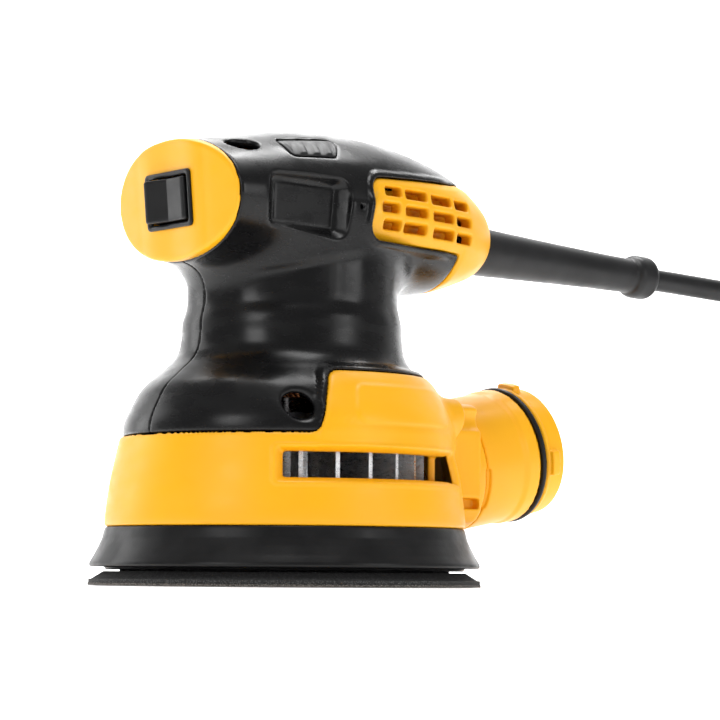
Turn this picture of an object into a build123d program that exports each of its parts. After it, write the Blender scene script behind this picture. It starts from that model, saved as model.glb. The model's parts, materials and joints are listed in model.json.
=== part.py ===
from build123d import *
import os
from math import cos, pi, radians, sin, tan

# Random orbit palm sander, in millimetres, +Z up.
# The origin is on the motor axis, in the plane of the abrasive face.
# -Y is the front, with the switch; +Y is the rear, with the cord and the dust port.

# ---------------------------------------------------------------- driving sizes
# Pad
pad_diameter = 125.0
disc_thickness = 0.8
hook_thickness = 1.2
foam_thickness = 4.5
foam_bevel = 4.9
foam_edge_height = 2.4
foam_step_radius = 52.5
hub_thickness = 3.0
hub_radius = 46.0
dust_hole_count = 8
dust_hole_radius = 4.8
dust_circle_radius = 32.5
orbit_radius = 1.2
crank_angle = -37.5
pad_screw_circle = 10.5

# Skirt and shroud
skirt_gap = 0.5
skirt_flare = 4.8
skirt_height = 13.5
skirt_wall = 2.0
shroud_foot_radius = 57.5
shroud_rim_z = 46.8
shroud_rim_radius = 52.9
shroud_top_z = 66.5
shroud_wall = 2.4
tongue_lift = 1.5
slot_bottom_z = 33.0
slot_height = 8.0
slot_half_angle = 37.0
duct_wall = 1.6

# Housing
housing_wall = 2.6
flare_foot_radius = 51.5
flare_foot_z = 52.5
flare_top_z = 78.0
neck_radius = 34.0
neck_centre_y = 2.0
spigot_depth = 4.0
seam_gap = 0.3
front_y = -42.0
front_z = 120.3
front_half_width = 34.1
front_half_height = 19.1
front_tilt = 5.0
rear_y = 78.0

# Screws that hold the shroud, one each side of the port
shroud_screw_x = 28.0
shroud_screw_y = 46.5
shroud_screw_z = 54.5
shroud_screw_sink = 2.8

# Dust port
port_radius = 22.0
port_bore_radius = 18.6
port_tilt = 10.5
port_ring_y = 90.0
port_axis_z = 44.6
port_joint_y = 66.0
port_end_y = 100.0
port_tip_length = 4.0
port_tip_radius = 21.5
seal_section = 1.3

# Motor
lower_shaft_radius = 5.0
shaft_radius = 6.0
upper_shaft_radius = 4.0
armature_radius = 15.4
armature_slots = 12
stator_radius = 28.0
stator_height = 34.0
stator_z = 64.0
air_gap = 0.7
commutator_radius = 10.0
commutator_z = 104.0
commutator_length = 12.0
commutator_bars = 24
fan_radius = 44.5
fan_blades = 24
fan_z = 30.0
fan_height = 13.5
blade_thickness = 1.4
plate_screw_circle = 43.6
pad_bearing_size = (6.0, 14.0, 8.0)
lower_bearing_size = (6.0, 14.0, 8.0)
upper_bearing_size = (4.0, 11.0, 7.0)

# Front cap and switch
cap_face = 3.2
cap_flat = 17.0
pivot_depth = cap_face - 1.5
bezel_width = 25.0
bezel_height = 18.0
bezel_stand = 1.4
rocker_width = 20.0
rocker_height = 13.6
rocker_throw = 14.0

# Cord
cord_diameter = 7.7
guard_start_y = 74.0
guard_end_y = 158.5
guard_z = 113.5
guard_tip_z = 109.4
guard_root_radius = 8.3
guard_tip_radius = 5.8
clamp_y = 47.0
clamp_screw_x = 9.6
clamp_thickness = 3.5
coil_centre = (-41.0, 319.0)
coil_radius = 44.0
coil_turns_across = 3
coil_turns_up = 4
plug_length = 34.0
plug_width = 25.0
plug_height = 14.0
blade_length = 17.0
blade_spacing = 12.7

# Recess on each side of the head, and the ribbed patch above it
pocket_depth = 3.2
grip_depth = 1.2
grip_clearance = 0.1

# Fits and screws
running_gap = 0.4
thread_clearance = 0.02
boss_wall = 2.2
shaft_clearance = 0.05
press_clearance = 0.03
lid_clearance = 0.25
screw_radius = 2.0
screw_head_radius = 3.6
screw_head_height = 2.6

# ---------------------------------------------------------------- worked-out places
pad_radius = pad_diameter / 2
hook_z = disc_thickness
foam_z = hook_z + hook_thickness
foam_edge_z = foam_z + foam_edge_height
foam_top_z = foam_z + foam_thickness
hub_top_z = foam_top_z + hub_thickness
flange_top_z = hub_top_z + 3.0
pad_bearing_z = flange_top_z + 1.0
pad_bearing_top_z = pad_bearing_z + pad_bearing_size[2]
skirt_bottom_z = foam_edge_z + skirt_gap
shroud_foot_z = skirt_bottom_z + skirt_height
slot_top_z = slot_bottom_z + slot_height
fan_top_z = fan_z + fan_height
plate_z = fan_top_z + 1.0
plate_thickness = 2.3
lower_bearing_z = plate_z + 1.6
lower_bearing_top_z = lower_bearing_z + lower_bearing_size[2]
stator_top_z = stator_z + stator_height
commutator_top_z = commutator_z + commutator_length
upper_bearing_z = commutator_top_z + 3.5
upper_bearing_top_z = upper_bearing_z + upper_bearing_size[2]
crank_x = orbit_radius * cos(radians(crank_angle))
crank_y = orbit_radius * sin(radians(crank_angle))
crank_centre = (crank_x, crank_y)
spigot_radius = shroud_rim_radius - shroud_wall - lid_clearance
cord_radius = cord_diameter / 2
clamp_z = guard_z + cord_radius
coil_half = coil_turns_across * cord_diameter / 2
coil_height = coil_turns_up * cord_diameter

# Head sections from front to rear: place, half width, lowest and highest point.
head_sections = [
    (-28.0, 34.6, 99.2, 141.6),
    (-10.0, 34.6, 97.4, 144.9),
    (8.0, 33.8, 96.4, 145.9),
    (26.0, 31.6, 95.8, 144.9),
    (43.0, 28.0, 95.8, 141.9),
    (57.0, 23.2, 97.6, 137.6),
    (68.0, 17.4, 101.2, 131.8),
    (rear_y, 10.6, 105.0, 125.4),
]


# ---------------------------------------------------------------- small helpers
def save(name, *shapes):
    """Write one node; several shapes make a group of separate solids."""
    solids = [solid for shape in shapes for solid in shape.solids()]
    node = solids[0] if len(solids) == 1 else Compound(children=solids)
    node.label = name
    export_step(node, f"parts/{name}.step")


def disc(radius, z0, z1, centre=(0, 0)):
    """Upright cylinder between two heights."""
    low = (Align.CENTER, Align.CENTER, Align.MIN)
    return Pos(centre[0], centre[1], z0) * Cylinder(radius, z1 - z0, align=low)


def ring(outer, inner, z0, z1, centre=(0, 0)):
    """Upright ring between two heights."""
    return disc(outer, z0, z1, centre) - disc(inner, z0 - 1, z1 + 1, centre)


def block(x, y, z):
    """Box between two corners, given as ranges along X, Y and Z."""
    size = (x[1] - x[0], y[1] - y[0], z[1] - z[0])
    return Pos(sum(x) / 2, sum(y) / 2, sum(z) / 2) * Box(*size)


def rod(radius, start, end):
    """Round bar from one point to another."""
    along = Vector(*end) - Vector(*start)
    place = Plane(origin=start, z_dir=along)
    return extrude(place * Circle(radius), along.length)


def turned(points, centre=(0, 0)):
    """Solid of revolution about an upright axis, from (radius, height) points."""
    face = make_face(Plane.XZ * Polyline(*points, close=True))
    return Pos(centre[0], centre[1], 0) * revolve(face, Axis.Z)


def side_slab(points, x_range=(-60.0, 60.0), rounding=0.0):
    """Side-view outline of (y, z) points, carried across the object along X."""
    face = make_face(Polyline(*points, close=True))
    if rounding:
        face = fillet(face.vertices(), rounding)
    place = Plane(origin=(x_range[0], 0, 0), x_dir=(0, 1, 0), z_dir=(1, 0, 0))
    return extrude(place * face, x_range[1] - x_range[0])


def around(solid, angles, centre=(0, 0)):
    """Copies of a solid turned about an upright axis."""
    hub = Pos(centre[0], centre[1], 0)
    return [hub * (Rot(0, 0, angle) * solid) for angle in angles]


def evenly(count, first=0.0):
    """Equal angles round a full turn."""
    return [first + 360.0 * i / count for i in range(count)]


def mirrored(solid):
    """The same solid on the other side of the centre plane."""
    return mirror(solid, Plane.YZ)


def bearing(size, z0, centre=(0, 0)):
    """Sealed ball bearing: ring with a recessed shield on each side."""
    bore, outer, width = size
    step = (outer - bore) / 4
    dip = 0.5
    z1 = z0 + width
    profile = [
        (bore, z0),
        (bore + step, z0),
        (bore + step, z0 + dip),
        (outer - step, z0 + dip),
        (outer - step, z0),
        (outer, z0),
        (outer, z1),
        (outer - step, z1),
        (outer - step, z1 - dip),
        (bore + step, z1 - dip),
        (bore + step, z1),
        (bore, z1),
    ]
    return turned(profile, centre)


def screw(head, tip, head_radius=screw_head_radius, radius=screw_radius):
    """Cheese-head screw with a hex recess, from the top of its head to its tip."""
    along = (Vector(*tip) - Vector(*head)).normalized()
    under = Vector(*head) + along * screw_head_height
    body = rod(head_radius, head, under) + rod(radius, under, tip)
    socket = Plane(origin=head, z_dir=along) * RegularPolygon(head_radius * 0.5, 6)
    return body - extrude(socket, screw_head_height * 0.5)


# ---------------------------------------------------------------- abrasive pad
def dust_holes(z0, z1, radius=dust_hole_radius):
    """The ring of dust holes through the pad."""
    hole = Pos(dust_circle_radius, 0, 0) * disc(radius, z0, z1)
    return around(hole, evenly(dust_hole_count, 22.5), crank_centre)


def pad_screw_places():
    """Centres of the three screws that hold the pad."""
    reach = pad_screw_circle
    turns = [radians(angle) for angle in evenly(3, 90)]
    return [(crank_x + reach * cos(a), crank_y + reach * sin(a)) for a in turns]


def make_sanding_disc():
    body = disc(pad_radius, 0, hook_z, crank_centre)
    return body - dust_holes(-1, hook_z + 1)


def make_hook_layer():
    body = disc(pad_radius - 0.2, hook_z, foam_z, crank_centre)
    body -= dust_holes(hook_z - 1, foam_z + 1)
    for place in pad_screw_places():
        body -= disc(screw_head_radius + 0.9, hook_z - 1, foam_z + 1, place)
    return body


def make_pad_foam():
    profile = [
        (0, foam_z),
        (pad_radius - 1.0, foam_z),
        (pad_radius - foam_bevel, foam_edge_z),
        (foam_step_radius, foam_edge_z),
        (foam_step_radius - 0.6, foam_top_z),
        (0, foam_top_z),
    ]
    body = turned(profile, crank_centre) - dust_holes(foam_z - 1, foam_top_z + 1)
    for place in pad_screw_places():
        body -= disc(screw_head_radius + 0.9, foam_z - 1, foam_top_z + 1, place)
    return body


def make_pad_hub():
    body = disc(hub_radius, foam_top_z, hub_top_z, crank_centre)
    body -= dust_holes(foam_top_z - 1, hub_top_z + 1)
    for place in pad_screw_places():
        body -= disc(screw_radius + 0.2, foam_top_z - 1, hub_top_z + 1, place)
    return body


def make_pad_screws():
    shapes = []
    for x, y in pad_screw_places():
        head = (x, y, foam_top_z - screw_head_height)
        shapes.append(screw(head, (x, y, flange_top_z - 0.2)))
    return shapes


def make_pad_spindle():
    body = disc(16.0, hub_top_z, flange_top_z, crank_centre)
    for place in pad_screw_places():
        body -= disc(screw_radius, hub_top_z - 1, flange_top_z + 1, place)
    journal = pad_bearing_size[0] - shaft_clearance
    body += disc(journal + 1.5, flange_top_z, pad_bearing_z - 0.1, crank_centre)
    return body + disc(journal, flange_top_z, pad_bearing_top_z - 0.3, crank_centre)


def make_pad_bearing():
    return bearing(pad_bearing_size, pad_bearing_z, crank_centre)


def make_counterweight():
    seat = pad_bearing_size[1] + press_clearance
    cup_z = flange_top_z + running_gap
    web_top_z = pad_bearing_top_z + 3.5
    body = disc(seat + 3.5, cup_z, web_top_z, crank_centre)
    body += disc(10.0, pad_bearing_top_z, fan_z)
    lobe = ring(38.0, 16.0, pad_bearing_top_z - 4, web_top_z)
    wedge = make_face(Polyline((0, 0), (60, 34), (60, 60), (-60, 60), (-60, 34), close=True))
    lobe &= Rot(0, 0, crank_angle + 90) * extrude(Pos(0, 0, cup_z) * wedge, 20)
    body += lobe
    body -= disc(seat, cup_z - 1, pad_bearing_top_z, crank_centre)
    return body - disc(lower_shaft_radius + press_clearance, pad_bearing_top_z - 1, fan_z + 1)


# ---------------------------------------------------------------- fan and motor
def make_fan():
    plate_top = fan_z + 1.6
    inner = 21.0
    body = disc(fan_radius, fan_z, plate_top) + disc(11.0, fan_z, fan_top_z)
    half = blade_thickness / 2
    blade = block((inner, fan_radius), (-half, half), (plate_top - 0.2, fan_top_z - 1))
    for turned_blade in around(blade, evenly(fan_blades)):
        body += turned_blade & disc(fan_radius, fan_z, fan_top_z)
    return body - disc(lower_shaft_radius + press_clearance, fan_z - 1, fan_top_z + 1)


def make_motor_shaft():
    body = disc(lower_shaft_radius, pad_bearing_top_z + 0.3, fan_top_z)
    body += disc(shaft_radius - press_clearance, fan_top_z, commutator_z - 1)
    top = upper_bearing_top_z + 1
    return body + disc(upper_shaft_radius - press_clearance, commutator_z - 1, top)


def winding_places():
    """Centres of the slots in the armature core."""
    reach = armature_radius - 3.4
    turns = [radians(angle) for angle in evenly(armature_slots)]
    return [(reach * cos(a), reach * sin(a)) for a in turns]


def make_armature_core():
    body = ring(armature_radius, shaft_radius, stator_z + 1, stator_top_z - 1)
    for x, y in winding_places():
        body -= disc(1.9, stator_z, stator_top_z, (x, y))
    across = (armature_radius - 2.5, armature_radius + 1)
    notch = block(across, (-0.5, 0.5), (stator_z, stator_top_z))
    for angle in evenly(armature_slots):
        body -= Rot(0, 0, angle) * notch
    return body


def make_armature_winding():
    low = ring(14.4, shaft_radius + 0.6, stator_z - 4.5, stator_z + 0.9)
    high = ring(14.4, shaft_radius + 0.6, stator_top_z - 0.9, stator_top_z + 4.5)
    body = low + high
    for place in winding_places():
        body += disc(1.8, stator_z - 1, stator_top_z + 1, place)
    return body


def make_commutator():
    body = ring(commutator_radius, upper_shaft_radius, commutator_z, commutator_top_z)
    riser_top = commutator_z + 2.0
    body += ring(commutator_radius + 1.6, upper_shaft_radius, commutator_z, riser_top)
    across = (commutator_radius - 0.8, commutator_radius + 3)
    groove = block(across, (-0.2, 0.2), (commutator_z - 1, commutator_top_z + 1))
    for angle in evenly(commutator_bars, 7.5):
        body -= Rot(0, 0, angle) * groove
    return body


def pole_sector(outer, inner, half_angle, z0, z1):
    """Two facing ring sectors, centred on the Y axis."""
    far = outer * 2
    x = far * sin(radians(half_angle))
    y = far * cos(radians(half_angle))
    bow_tie = make_face(Polyline((0, 0), (x, y), (-x, y), close=True))
    front = extrude(Pos(0, 0, z0) * bow_tie, z1 - z0)
    return ring(outer, inner, z0, z1) & (front + Rot(0, 0, 180) * front)


def make_stator_core():
    yoke = 23.6
    body = ring(stator_radius, yoke, stator_z, stator_top_z)
    bore = armature_radius + air_gap
    return body + pole_sector(yoke + 0.5, bore, 48, stator_z, stator_top_z)


def make_field_coils():
    overhang = 3.2
    bore = armature_radius + air_gap + 1.2
    legs = ring(23.3, bore, stator_z - overhang, stator_top_z + overhang)
    legs -= pole_sector(26, 10, 50, stator_z - 0.3, stator_top_z + 0.3)
    legs -= block((-40, 40), (-0.6, 0.6), (stator_z - 10, stator_top_z + 10))
    return legs


def make_brushes():
    x = (commutator_radius + 0.12, 21.0)
    brush = block(x, (-3.0, 3.0), (commutator_z + 3.5, commutator_top_z - 0.5))
    brush -= disc(commutator_radius + 0.12, commutator_z, commutator_top_z)
    return [brush, mirrored(brush)]


def make_brush_holders():
    end = front_half_width - pocket_depth - housing_wall - 0.3
    x = (commutator_radius + 2.5, end)
    outer = block(x, (-4.6, 4.6), (commutator_z + 2.6, commutator_top_z + 0.6))
    inner = block((0, end - 0.8), (-3.15, 3.15), (commutator_z + 3.4, commutator_top_z - 0.4))
    holder = outer - inner
    return [holder, mirrored(holder)]


def make_brush_springs():
    wire = 0.35
    middle_z = (commutator_z + 3.0 + commutator_top_z) / 2
    start = 21.4
    path = Helix(pitch=1.4, height=5.2, radius=2.2)
    section = Plane(origin=path @ 0, z_dir=path % 0) * Circle(wire)
    coil = sweep(section, path, is_frenet=True)
    spring = Pos(start, 0, middle_z) * (Rot(0, 90, 0) * coil)
    return [spring, mirrored(spring)]


def make_upper_bearing():
    return bearing(upper_bearing_size, upper_bearing_z)


def make_bearing_boot():
    outer = upper_bearing_size[1] + 2.0
    bore = upper_bearing_size[1] + press_clearance
    return ring(outer, bore, upper_bearing_z, upper_bearing_top_z)


def make_lower_bearing():
    return bearing(lower_bearing_size, lower_bearing_z)


def plate_screw_places():
    """Centres of the screws that hold the bearing plate to the housing."""
    reach = plate_screw_circle
    turns = [radians(angle) for angle in (22, 158, 202, 338)]
    return [(reach * cos(a), reach * sin(a)) for a in turns]


def make_bearing_plate():
    plate_top = plate_z + plate_thickness
    body = disc(spigot_radius - housing_wall - lid_clearance, plate_z, plate_top)
    body += disc(lower_bearing_size[1] + 3.0, plate_z, lower_bearing_top_z + 0.5)
    seat = lower_bearing_size[1] + press_clearance
    body -= disc(seat, lower_bearing_z, lower_bearing_top_z + 1)
    body -= disc(seat - 3.5, plate_z - 1, lower_bearing_z + 1)
    vent = Pos(28, 0, 0) * disc(5.5, plate_z - 1, plate_top + 1)
    body -= around(vent, evenly(8))
    for place in plate_screw_places():
        body -= disc(1.7, plate_z - 1, plate_top + 1, place)
    return body


def make_plate_screws():
    shapes = []
    for x, y in plate_screw_places():
        head = (x, y, plate_z - screw_head_height)
        tip = (x, y, plate_z + 9)
        shapes.append(screw(head, tip, 2.6, 1.5))
    return shapes


# ---------------------------------------------------------------- housing
front_plane = Plane(
    origin=(0, front_y, front_z),
    x_dir=(1, 0, 0),
    z_dir=(0, -cos(radians(front_tilt)), -sin(radians(front_tilt))),
)


def head_form(inset=0.0):
    """Head as a loft of upright ovals, all drawn in by the inset."""
    width = front_half_width - inset
    height = front_half_height - inset
    sections = [front_plane * Ellipse(width, height)]
    for y, half_width, low, high in head_sections:
        place = Plane(origin=(0, y, (low + high) / 2), x_dir=(1, 0, 0), z_dir=(0, -1, 0))
        half_height = (high - low) / 2
        sections.append(place * Ellipse(half_width - inset, half_height - inset))
    return loft(sections)


def flare_profile(inset=0.0):
    """Bell from the shroud's rim up to the neck, as (radius, height) points."""
    rise = flare_top_z - flare_foot_z
    drop = flare_foot_radius - neck_radius
    shares = [(0.0, 0.0), (0.15, 0.20), (0.32, 0.40), (0.61, 0.60), (0.88, 0.80), (1.0, 1.0)]
    return [
        (flare_foot_radius - drop * across - inset, flare_foot_z + rise * up)
        for across, up in shares
    ]


def flare_form(inset=0.0, lift=0.0):
    """Solid bell, closed down to the shroud's rim."""
    curve = Spline(*[(r + lift, 0, z) for r, z in flare_profile(inset)])
    top = curve @ 1
    foot = curve @ 0
    rim_z = shroud_rim_z - spigot_depth
    corners = [
        top,
        Vector(0, 0, top.Z),
        Vector(0, 0, rim_z),
        Vector(foot.X, 0, rim_z),
        foot,
    ]
    edges = [curve] + [Line(a, b) for a, b in zip(corners, corners[1:])]
    return revolve(make_face(Wire(edges)), Axis.Z)


def housing_solid(inset=0.0):
    """Whole black form, solid: head, neck and bell."""
    neck = disc(neck_radius - inset, flare_top_z - 6, 118, (0, neck_centre_y))
    return head_form(inset) + neck + flare_form(inset)


def cover_outline(grow=0.0):
    """Side view of the rear cover: a tongue forward and the whole rear end."""
    return [
        (9.5 - grow, 128.8 + grow),
        (61.0, 131.6 + grow),
        (66.0 - grow, 140.0),
        (120.0, 140.0),
        (120.0, 80.0),
        (54.0 - grow, 80.0),
        (54.0 - grow, 108.6 - grow),
        (6.5 - grow, 109.2 - grow),
    ]


def cover_slab(grow=0.0):
    face = make_face(Polyline(*cover_outline(grow), close=True))
    tongue = [v for v in face.vertices() if v.X < 12]
    face = fillet(tongue, 4.5 + grow)
    return extrude(Plane(origin=(-60, 0, 0), x_dir=(0, 1, 0), z_dir=(1, 0, 0)) * face, 120)


pocket_outline = [(-31.5, 128.6), (-0.5, 127.6), (-2.5, 107.8), (-32.0, 108.4)]
screw_places = [(-25.4, 54.8), (-30.0, 134.3), (30.0, 60.0), (44.0, 134.0), (30.0, 99.6)]
grip_outline = [(-19.5, 139.0), (4.0, 141.2), (-2.5, 134.4), (-19.0, 133.4)]


def screw_boss(y, z, side):
    """Boss from the centre plane out to the wall, on one side."""
    reach = 46.0 if z < 90 else 33.0
    return rod(screw_head_radius + boss_wall, (0, y, z), (side * reach, y, z))


def inner_structure(side):
    """Ribs, bearing cradle and screw bosses of one housing half, before trimming."""
    boot = upper_bearing_size[1] + 2.0 + press_clearance
    across = (0, 40) if side > 0 else (-40, 0)
    body = block(across, (-17, 17), (upper_bearing_z + 0.5, upper_bearing_top_z))
    body -= disc(boot, upper_bearing_z - 2, upper_bearing_top_z + 2)
    for angle in (30, 150):
        turn = angle if side > 0 else angle + 180
        rib = block((stator_radius + 0.1, 50), (-1.5, 1.5), (stator_z, stator_top_z))
        body += Rot(0, 0, turn - 90) * rib
    for y, z in screw_places:
        body += screw_boss(y, z, side)
    ledge_z = plate_z + plate_thickness
    body += ring(60, 40.5, ledge_z, ledge_z + 2)
    for place in plate_screw_places():
        body += disc(4.2, ledge_z, plate_z + 12, place)
    body += disc(4.0, 90, clamp_z, (side * clamp_screw_x, clamp_y))
    x = side * shroud_screw_x
    return body + rod(5.0, (x, 20, shroud_screw_z), (x, 60, shroud_screw_z))


def make_housing(side):
    """One half of the clamshell; side is 1 for the right half and -1 for the left."""
    outer = housing_solid()
    inner = housing_solid(housing_wall)
    inner += disc(spigot_radius - housing_wall, shroud_rim_z - 6, flare_foot_z)
    pocket_floor = front_half_width - pocket_depth
    backing = pocket_floor - housing_wall
    inner -= side_slab(pocket_outline, (backing, 60))
    inner -= side_slab(pocket_outline, (-60, -backing))
    shell = outer - inner
    room = outer & inner
    shell += room & inner_structure(side)
    shell -= ring(80, spigot_radius, shroud_rim_z - 8, shroud_rim_z)
    shell -= cover_slab(seam_gap)
    shell -= side_slab(pocket_outline, (pocket_floor, 60), 3.0)
    shell -= side_slab(pocket_outline, (-60, -pocket_floor), 3.0)
    shell -= grip_patches(grip_depth + grip_clearance)
    for y, z in screw_places:
        seat_x = 9.0
        shell -= rod(screw_head_radius + 0.5, (seat_x, y, z), (60, y, z))
        shell -= rod(screw_radius + 0.2, (-1, y, z), (seat_x + 1, y, z))
        shell -= rod(screw_radius + thread_clearance, (-16, y, z), (1, y, z))
    for place in plate_screw_places():
        shell -= disc(1.5 + thread_clearance, plate_z - 2, plate_z + 10, place)
    for x in (-shroud_screw_x, shroud_screw_x):
        start = (x, 25, shroud_screw_z)
        end = (x, 60, shroud_screw_z)
        seat = (x, shroud_screw_y - shroud_screw_sink - 0.1, shroud_screw_z)
        shell -= rod(screw_radius + thread_clearance, start, end)
        shell -= rod(screw_head_radius + 0.3, seat, end)
    for x in (-clamp_screw_x, clamp_screw_x):
        shell -= disc(1.5 + thread_clearance, 108, clamp_z + 1, (x, clamp_y))
    shell -= disc(stator_radius + 0.08, stator_z - 1, stator_top_z + 1)
    half = (0, 80) if side > 0 else (-80, 0)
    kept = shell & block(half, (-80, 120), (30, 160))
    return max(kept.solids(), key=lambda s: s.volume)


def grip_patches(depth):
    """The two shoulder patches, each a piece of the head's skin."""
    skin = head_form() - head_form(depth)
    right = skin & side_slab(grip_outline, (5, 60), 1.5)
    return right + mirrored(right)


def make_grip_pads():
    """Ribbed soft patch on each shoulder of the head, let into the wall."""
    return grip_patches(grip_depth)


def make_front_cap():
    """Oval cover: flat across the middle, its sides curving back to the rim."""
    oval = front_plane * Ellipse(front_half_width, front_half_height)
    thick = extrude(oval, cap_face + 0.2)
    reach = front_half_width + 2
    flat = cap_flat
    plan = make_face(
        Wire(
            [
                Line((-flat, cap_face), (flat, cap_face)),
                Spline((flat, cap_face), (27.0, 2.6), (reach, 1.0), tangents=((1, 0), (1, -0.35))),
                Line((reach, 1.0), (reach, -1.0)),
                Line((reach, -1.0), (-reach, -1.0)),
                Line((-reach, -1.0), (-reach, 1.0)),
                Spline((-reach, 1.0), (-27.0, 2.6), (-flat, cap_face), tangents=((1, 0.35), (1, 0))),
            ]
        )
    )
    upright = Plane(
        origin=front_plane.origin - front_plane.y_dir * 30,
        x_dir=(-1, 0, 0),
        z_dir=front_plane.y_dir,
    )
    body = thick & extrude(upright * plan, 60)
    lip = housing_wall + 3 * lid_clearance
    outer = front_plane * Ellipse(front_half_width - lip, front_half_height - lip)
    inner = front_plane * Ellipse(front_half_width - lip - 1.8, front_half_height - lip - 1.8)
    body += extrude(outer, -5.0) - extrude(inner, -5.0)
    body += extrude(outer, -1.0)
    window = front_plane * Rectangle(bezel_width - 3, bezel_height - 3)
    return body - extrude(window, 20, both=True)


def make_rear_cover():
    shell = head_form() - head_form(housing_wall)
    shell += head_form() & block((-20, 20), (rear_y - housing_wall, rear_y + 1), (90, 140))
    body = shell & cover_slab()
    for row in range(3):
        for column in range(4):
            y = 14.5 + 11.2 * column
            z = 124.6 - 5.4 * row - 0.2 * column
            length = 7.0 if column in (0, 3) else 8.6
            for across in ((10, 60), (-60, -10)):
                body -= block(across, (y, y + length), (z - 1.5, z + 1.5))
    exit_radius = guard_root_radius + lid_clearance
    return body - rod(exit_radius, (0, 60, guard_z), (0, 100, guard_z))


# ---------------------------------------------------------------- shroud and port
port_plane = Plane(
    origin=(0, port_ring_y, port_axis_z),
    x_dir=(1, 0, 0),
    z_dir=(0, cos(radians(port_tilt)), sin(radians(port_tilt))),
)


def port_tube(radius, start, end):
    """Round bar along the port's axis, between two places measured along it."""
    return extrude(port_plane.offset(start) * Circle(radius), end - start)


def shroud_form(inset=0.0):
    """Solid of the lower band and the part that rises over the bell."""
    band = [
        (shroud_foot_radius - inset, shroud_foot_z),
        (shroud_foot_radius - inset, shroud_foot_z + 2.6),
        (shroud_foot_radius - 1.5 - inset, slot_bottom_z),
        (shroud_foot_radius - 3.2 - inset, slot_top_z),
        (shroud_rim_radius + 0.2 - inset, flare_foot_z),
    ]
    return turned([(0, shroud_foot_z)] + band + [(0, flare_foot_z)])


def shroud_rise():
    """The skin that lies over the rear of the bell."""
    outline = [(-20.5, 44.0), (-15.4, 56.0), (-8.5, shroud_top_z), (80, shroud_top_z), (80, 44.0)]
    skin = flare_form(-tongue_lift) - flare_form(-lid_clearance)
    rise = skin & side_slab(outline)
    return rise & block((-80, 80), (-80, 80), (shroud_rim_z - 0.5, shroud_top_z))


def slot_cut(inner, outer, side):
    """The exhaust slot of one side, between two radii."""
    spread = ring(outer, inner, slot_bottom_z, slot_top_z)
    far = 90.0
    y = far * sin(radians(slot_half_angle))
    x = far * cos(radians(slot_half_angle))
    wedge = make_face(Polyline((0, 0), (side * x, y), (side * x, -y), close=True))
    return spread & extrude(Pos(0, 0, slot_bottom_z) * wedge, slot_height)


def slot_duct(side):
    """Walls that lead the air out from the fan to the slot."""
    z0 = slot_bottom_z - duct_wall
    z1 = slot_top_z + duct_wall
    outer = shroud_foot_radius - 1
    inner = fan_radius + 2.0
    y = 90.0 * sin(radians(slot_half_angle + 2))
    x = 90.0 * cos(radians(slot_half_angle + 2))
    wedge = make_face(Polyline((0, 0), (side * x, y), (side * x, -y), close=True))
    return ring(outer, inner, z0, z1) & extrude(Pos(0, 0, z0) * wedge, z1 - z0)


def make_shroud():
    outer = shroud_form()
    inner = shroud_form(shroud_wall)
    joint = (port_joint_y - port_ring_y) / cos(radians(port_tilt))
    spigot = port_tube(port_radius, -60, joint) & block((-60, 60), (30, 90), (shroud_foot_z, 90))
    body = outer + spigot
    ducts = (slot_duct(1) + slot_duct(-1)) & outer
    body -= inner
    body += ducts
    body += shroud_rise()
    air_way = port_tube(port_bore_radius, -70, joint + 1)
    body -= air_way & block((-60, 60), (20, 90), (shroud_foot_z + 2, 90))
    body -= disc(fan_radius + 2.0, slot_bottom_z - 3, slot_top_z + 3)
    body -= slot_cut(fan_radius, 80, 1) + slot_cut(fan_radius, 80, -1)
    seat_z = shroud_rim_z - spigot_depth - 2 * lid_clearance
    bell = flare_form(-lid_clearance)
    body -= bell + disc(spigot_radius + lid_clearance, seat_z, shroud_rim_z + 10)
    z = shroud_screw_z
    for x in (-shroud_screw_x, shroud_screw_x):
        body += rod(6.0, (x, 36, z), (x, shroud_screw_y, z)) - bell
        body -= rod(screw_radius + 0.2, (x, 20, z), (x, 60, z))
        seat_y = shroud_screw_y - shroud_screw_sink
        body -= rod(screw_head_radius + 0.3, (x, seat_y, z), (x, 70, z))
    return max(body.solids(), key=lambda s: s.volume)


def make_dust_port():
    """Outlet tube: joint sleeve, raised lip, seal groove and bayonet end."""
    tilt = cos(radians(port_tilt))
    joint = (port_joint_y - port_ring_y) / tilt
    end = (port_end_y - port_ring_y) / tilt
    tip = end - port_tip_length
    body = port_tube(port_radius, joint + 0.1, -1.4) + port_tube(port_radius - 0.3, -1.4, tip)
    body += port_tube(port_tip_radius, tip, end)
    body += port_tube(port_radius + 0.6, -3.6, -1.4)
    body += port_tube(port_radius + 0.6, 1.4, 2.6)
    body += port_tube(port_bore_radius - 0.2, joint - 6, joint + 1)
    body &= block((-40, 40), (30, 120), (shroud_foot_z, 90)) + port_tube(60, joint + 8, 40)
    for angle in (80, 350, 200):
        lug = Rot(0, 0, angle) * (Pos(port_radius, 0, tip - 1.7) * Box(4.0, 6.0, 3.0))
        body += port_plane.location * lug
    return body - port_tube(port_bore_radius - 2.0, joint - 10, end + 1)


def make_port_seal():
    middle = port_radius + seal_section - 0.2
    section = Pos(middle, 0, 0) * (Plane.XZ * Circle(seal_section - 0.1))
    return port_plane.location * revolve(section, Axis.Z)


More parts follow.
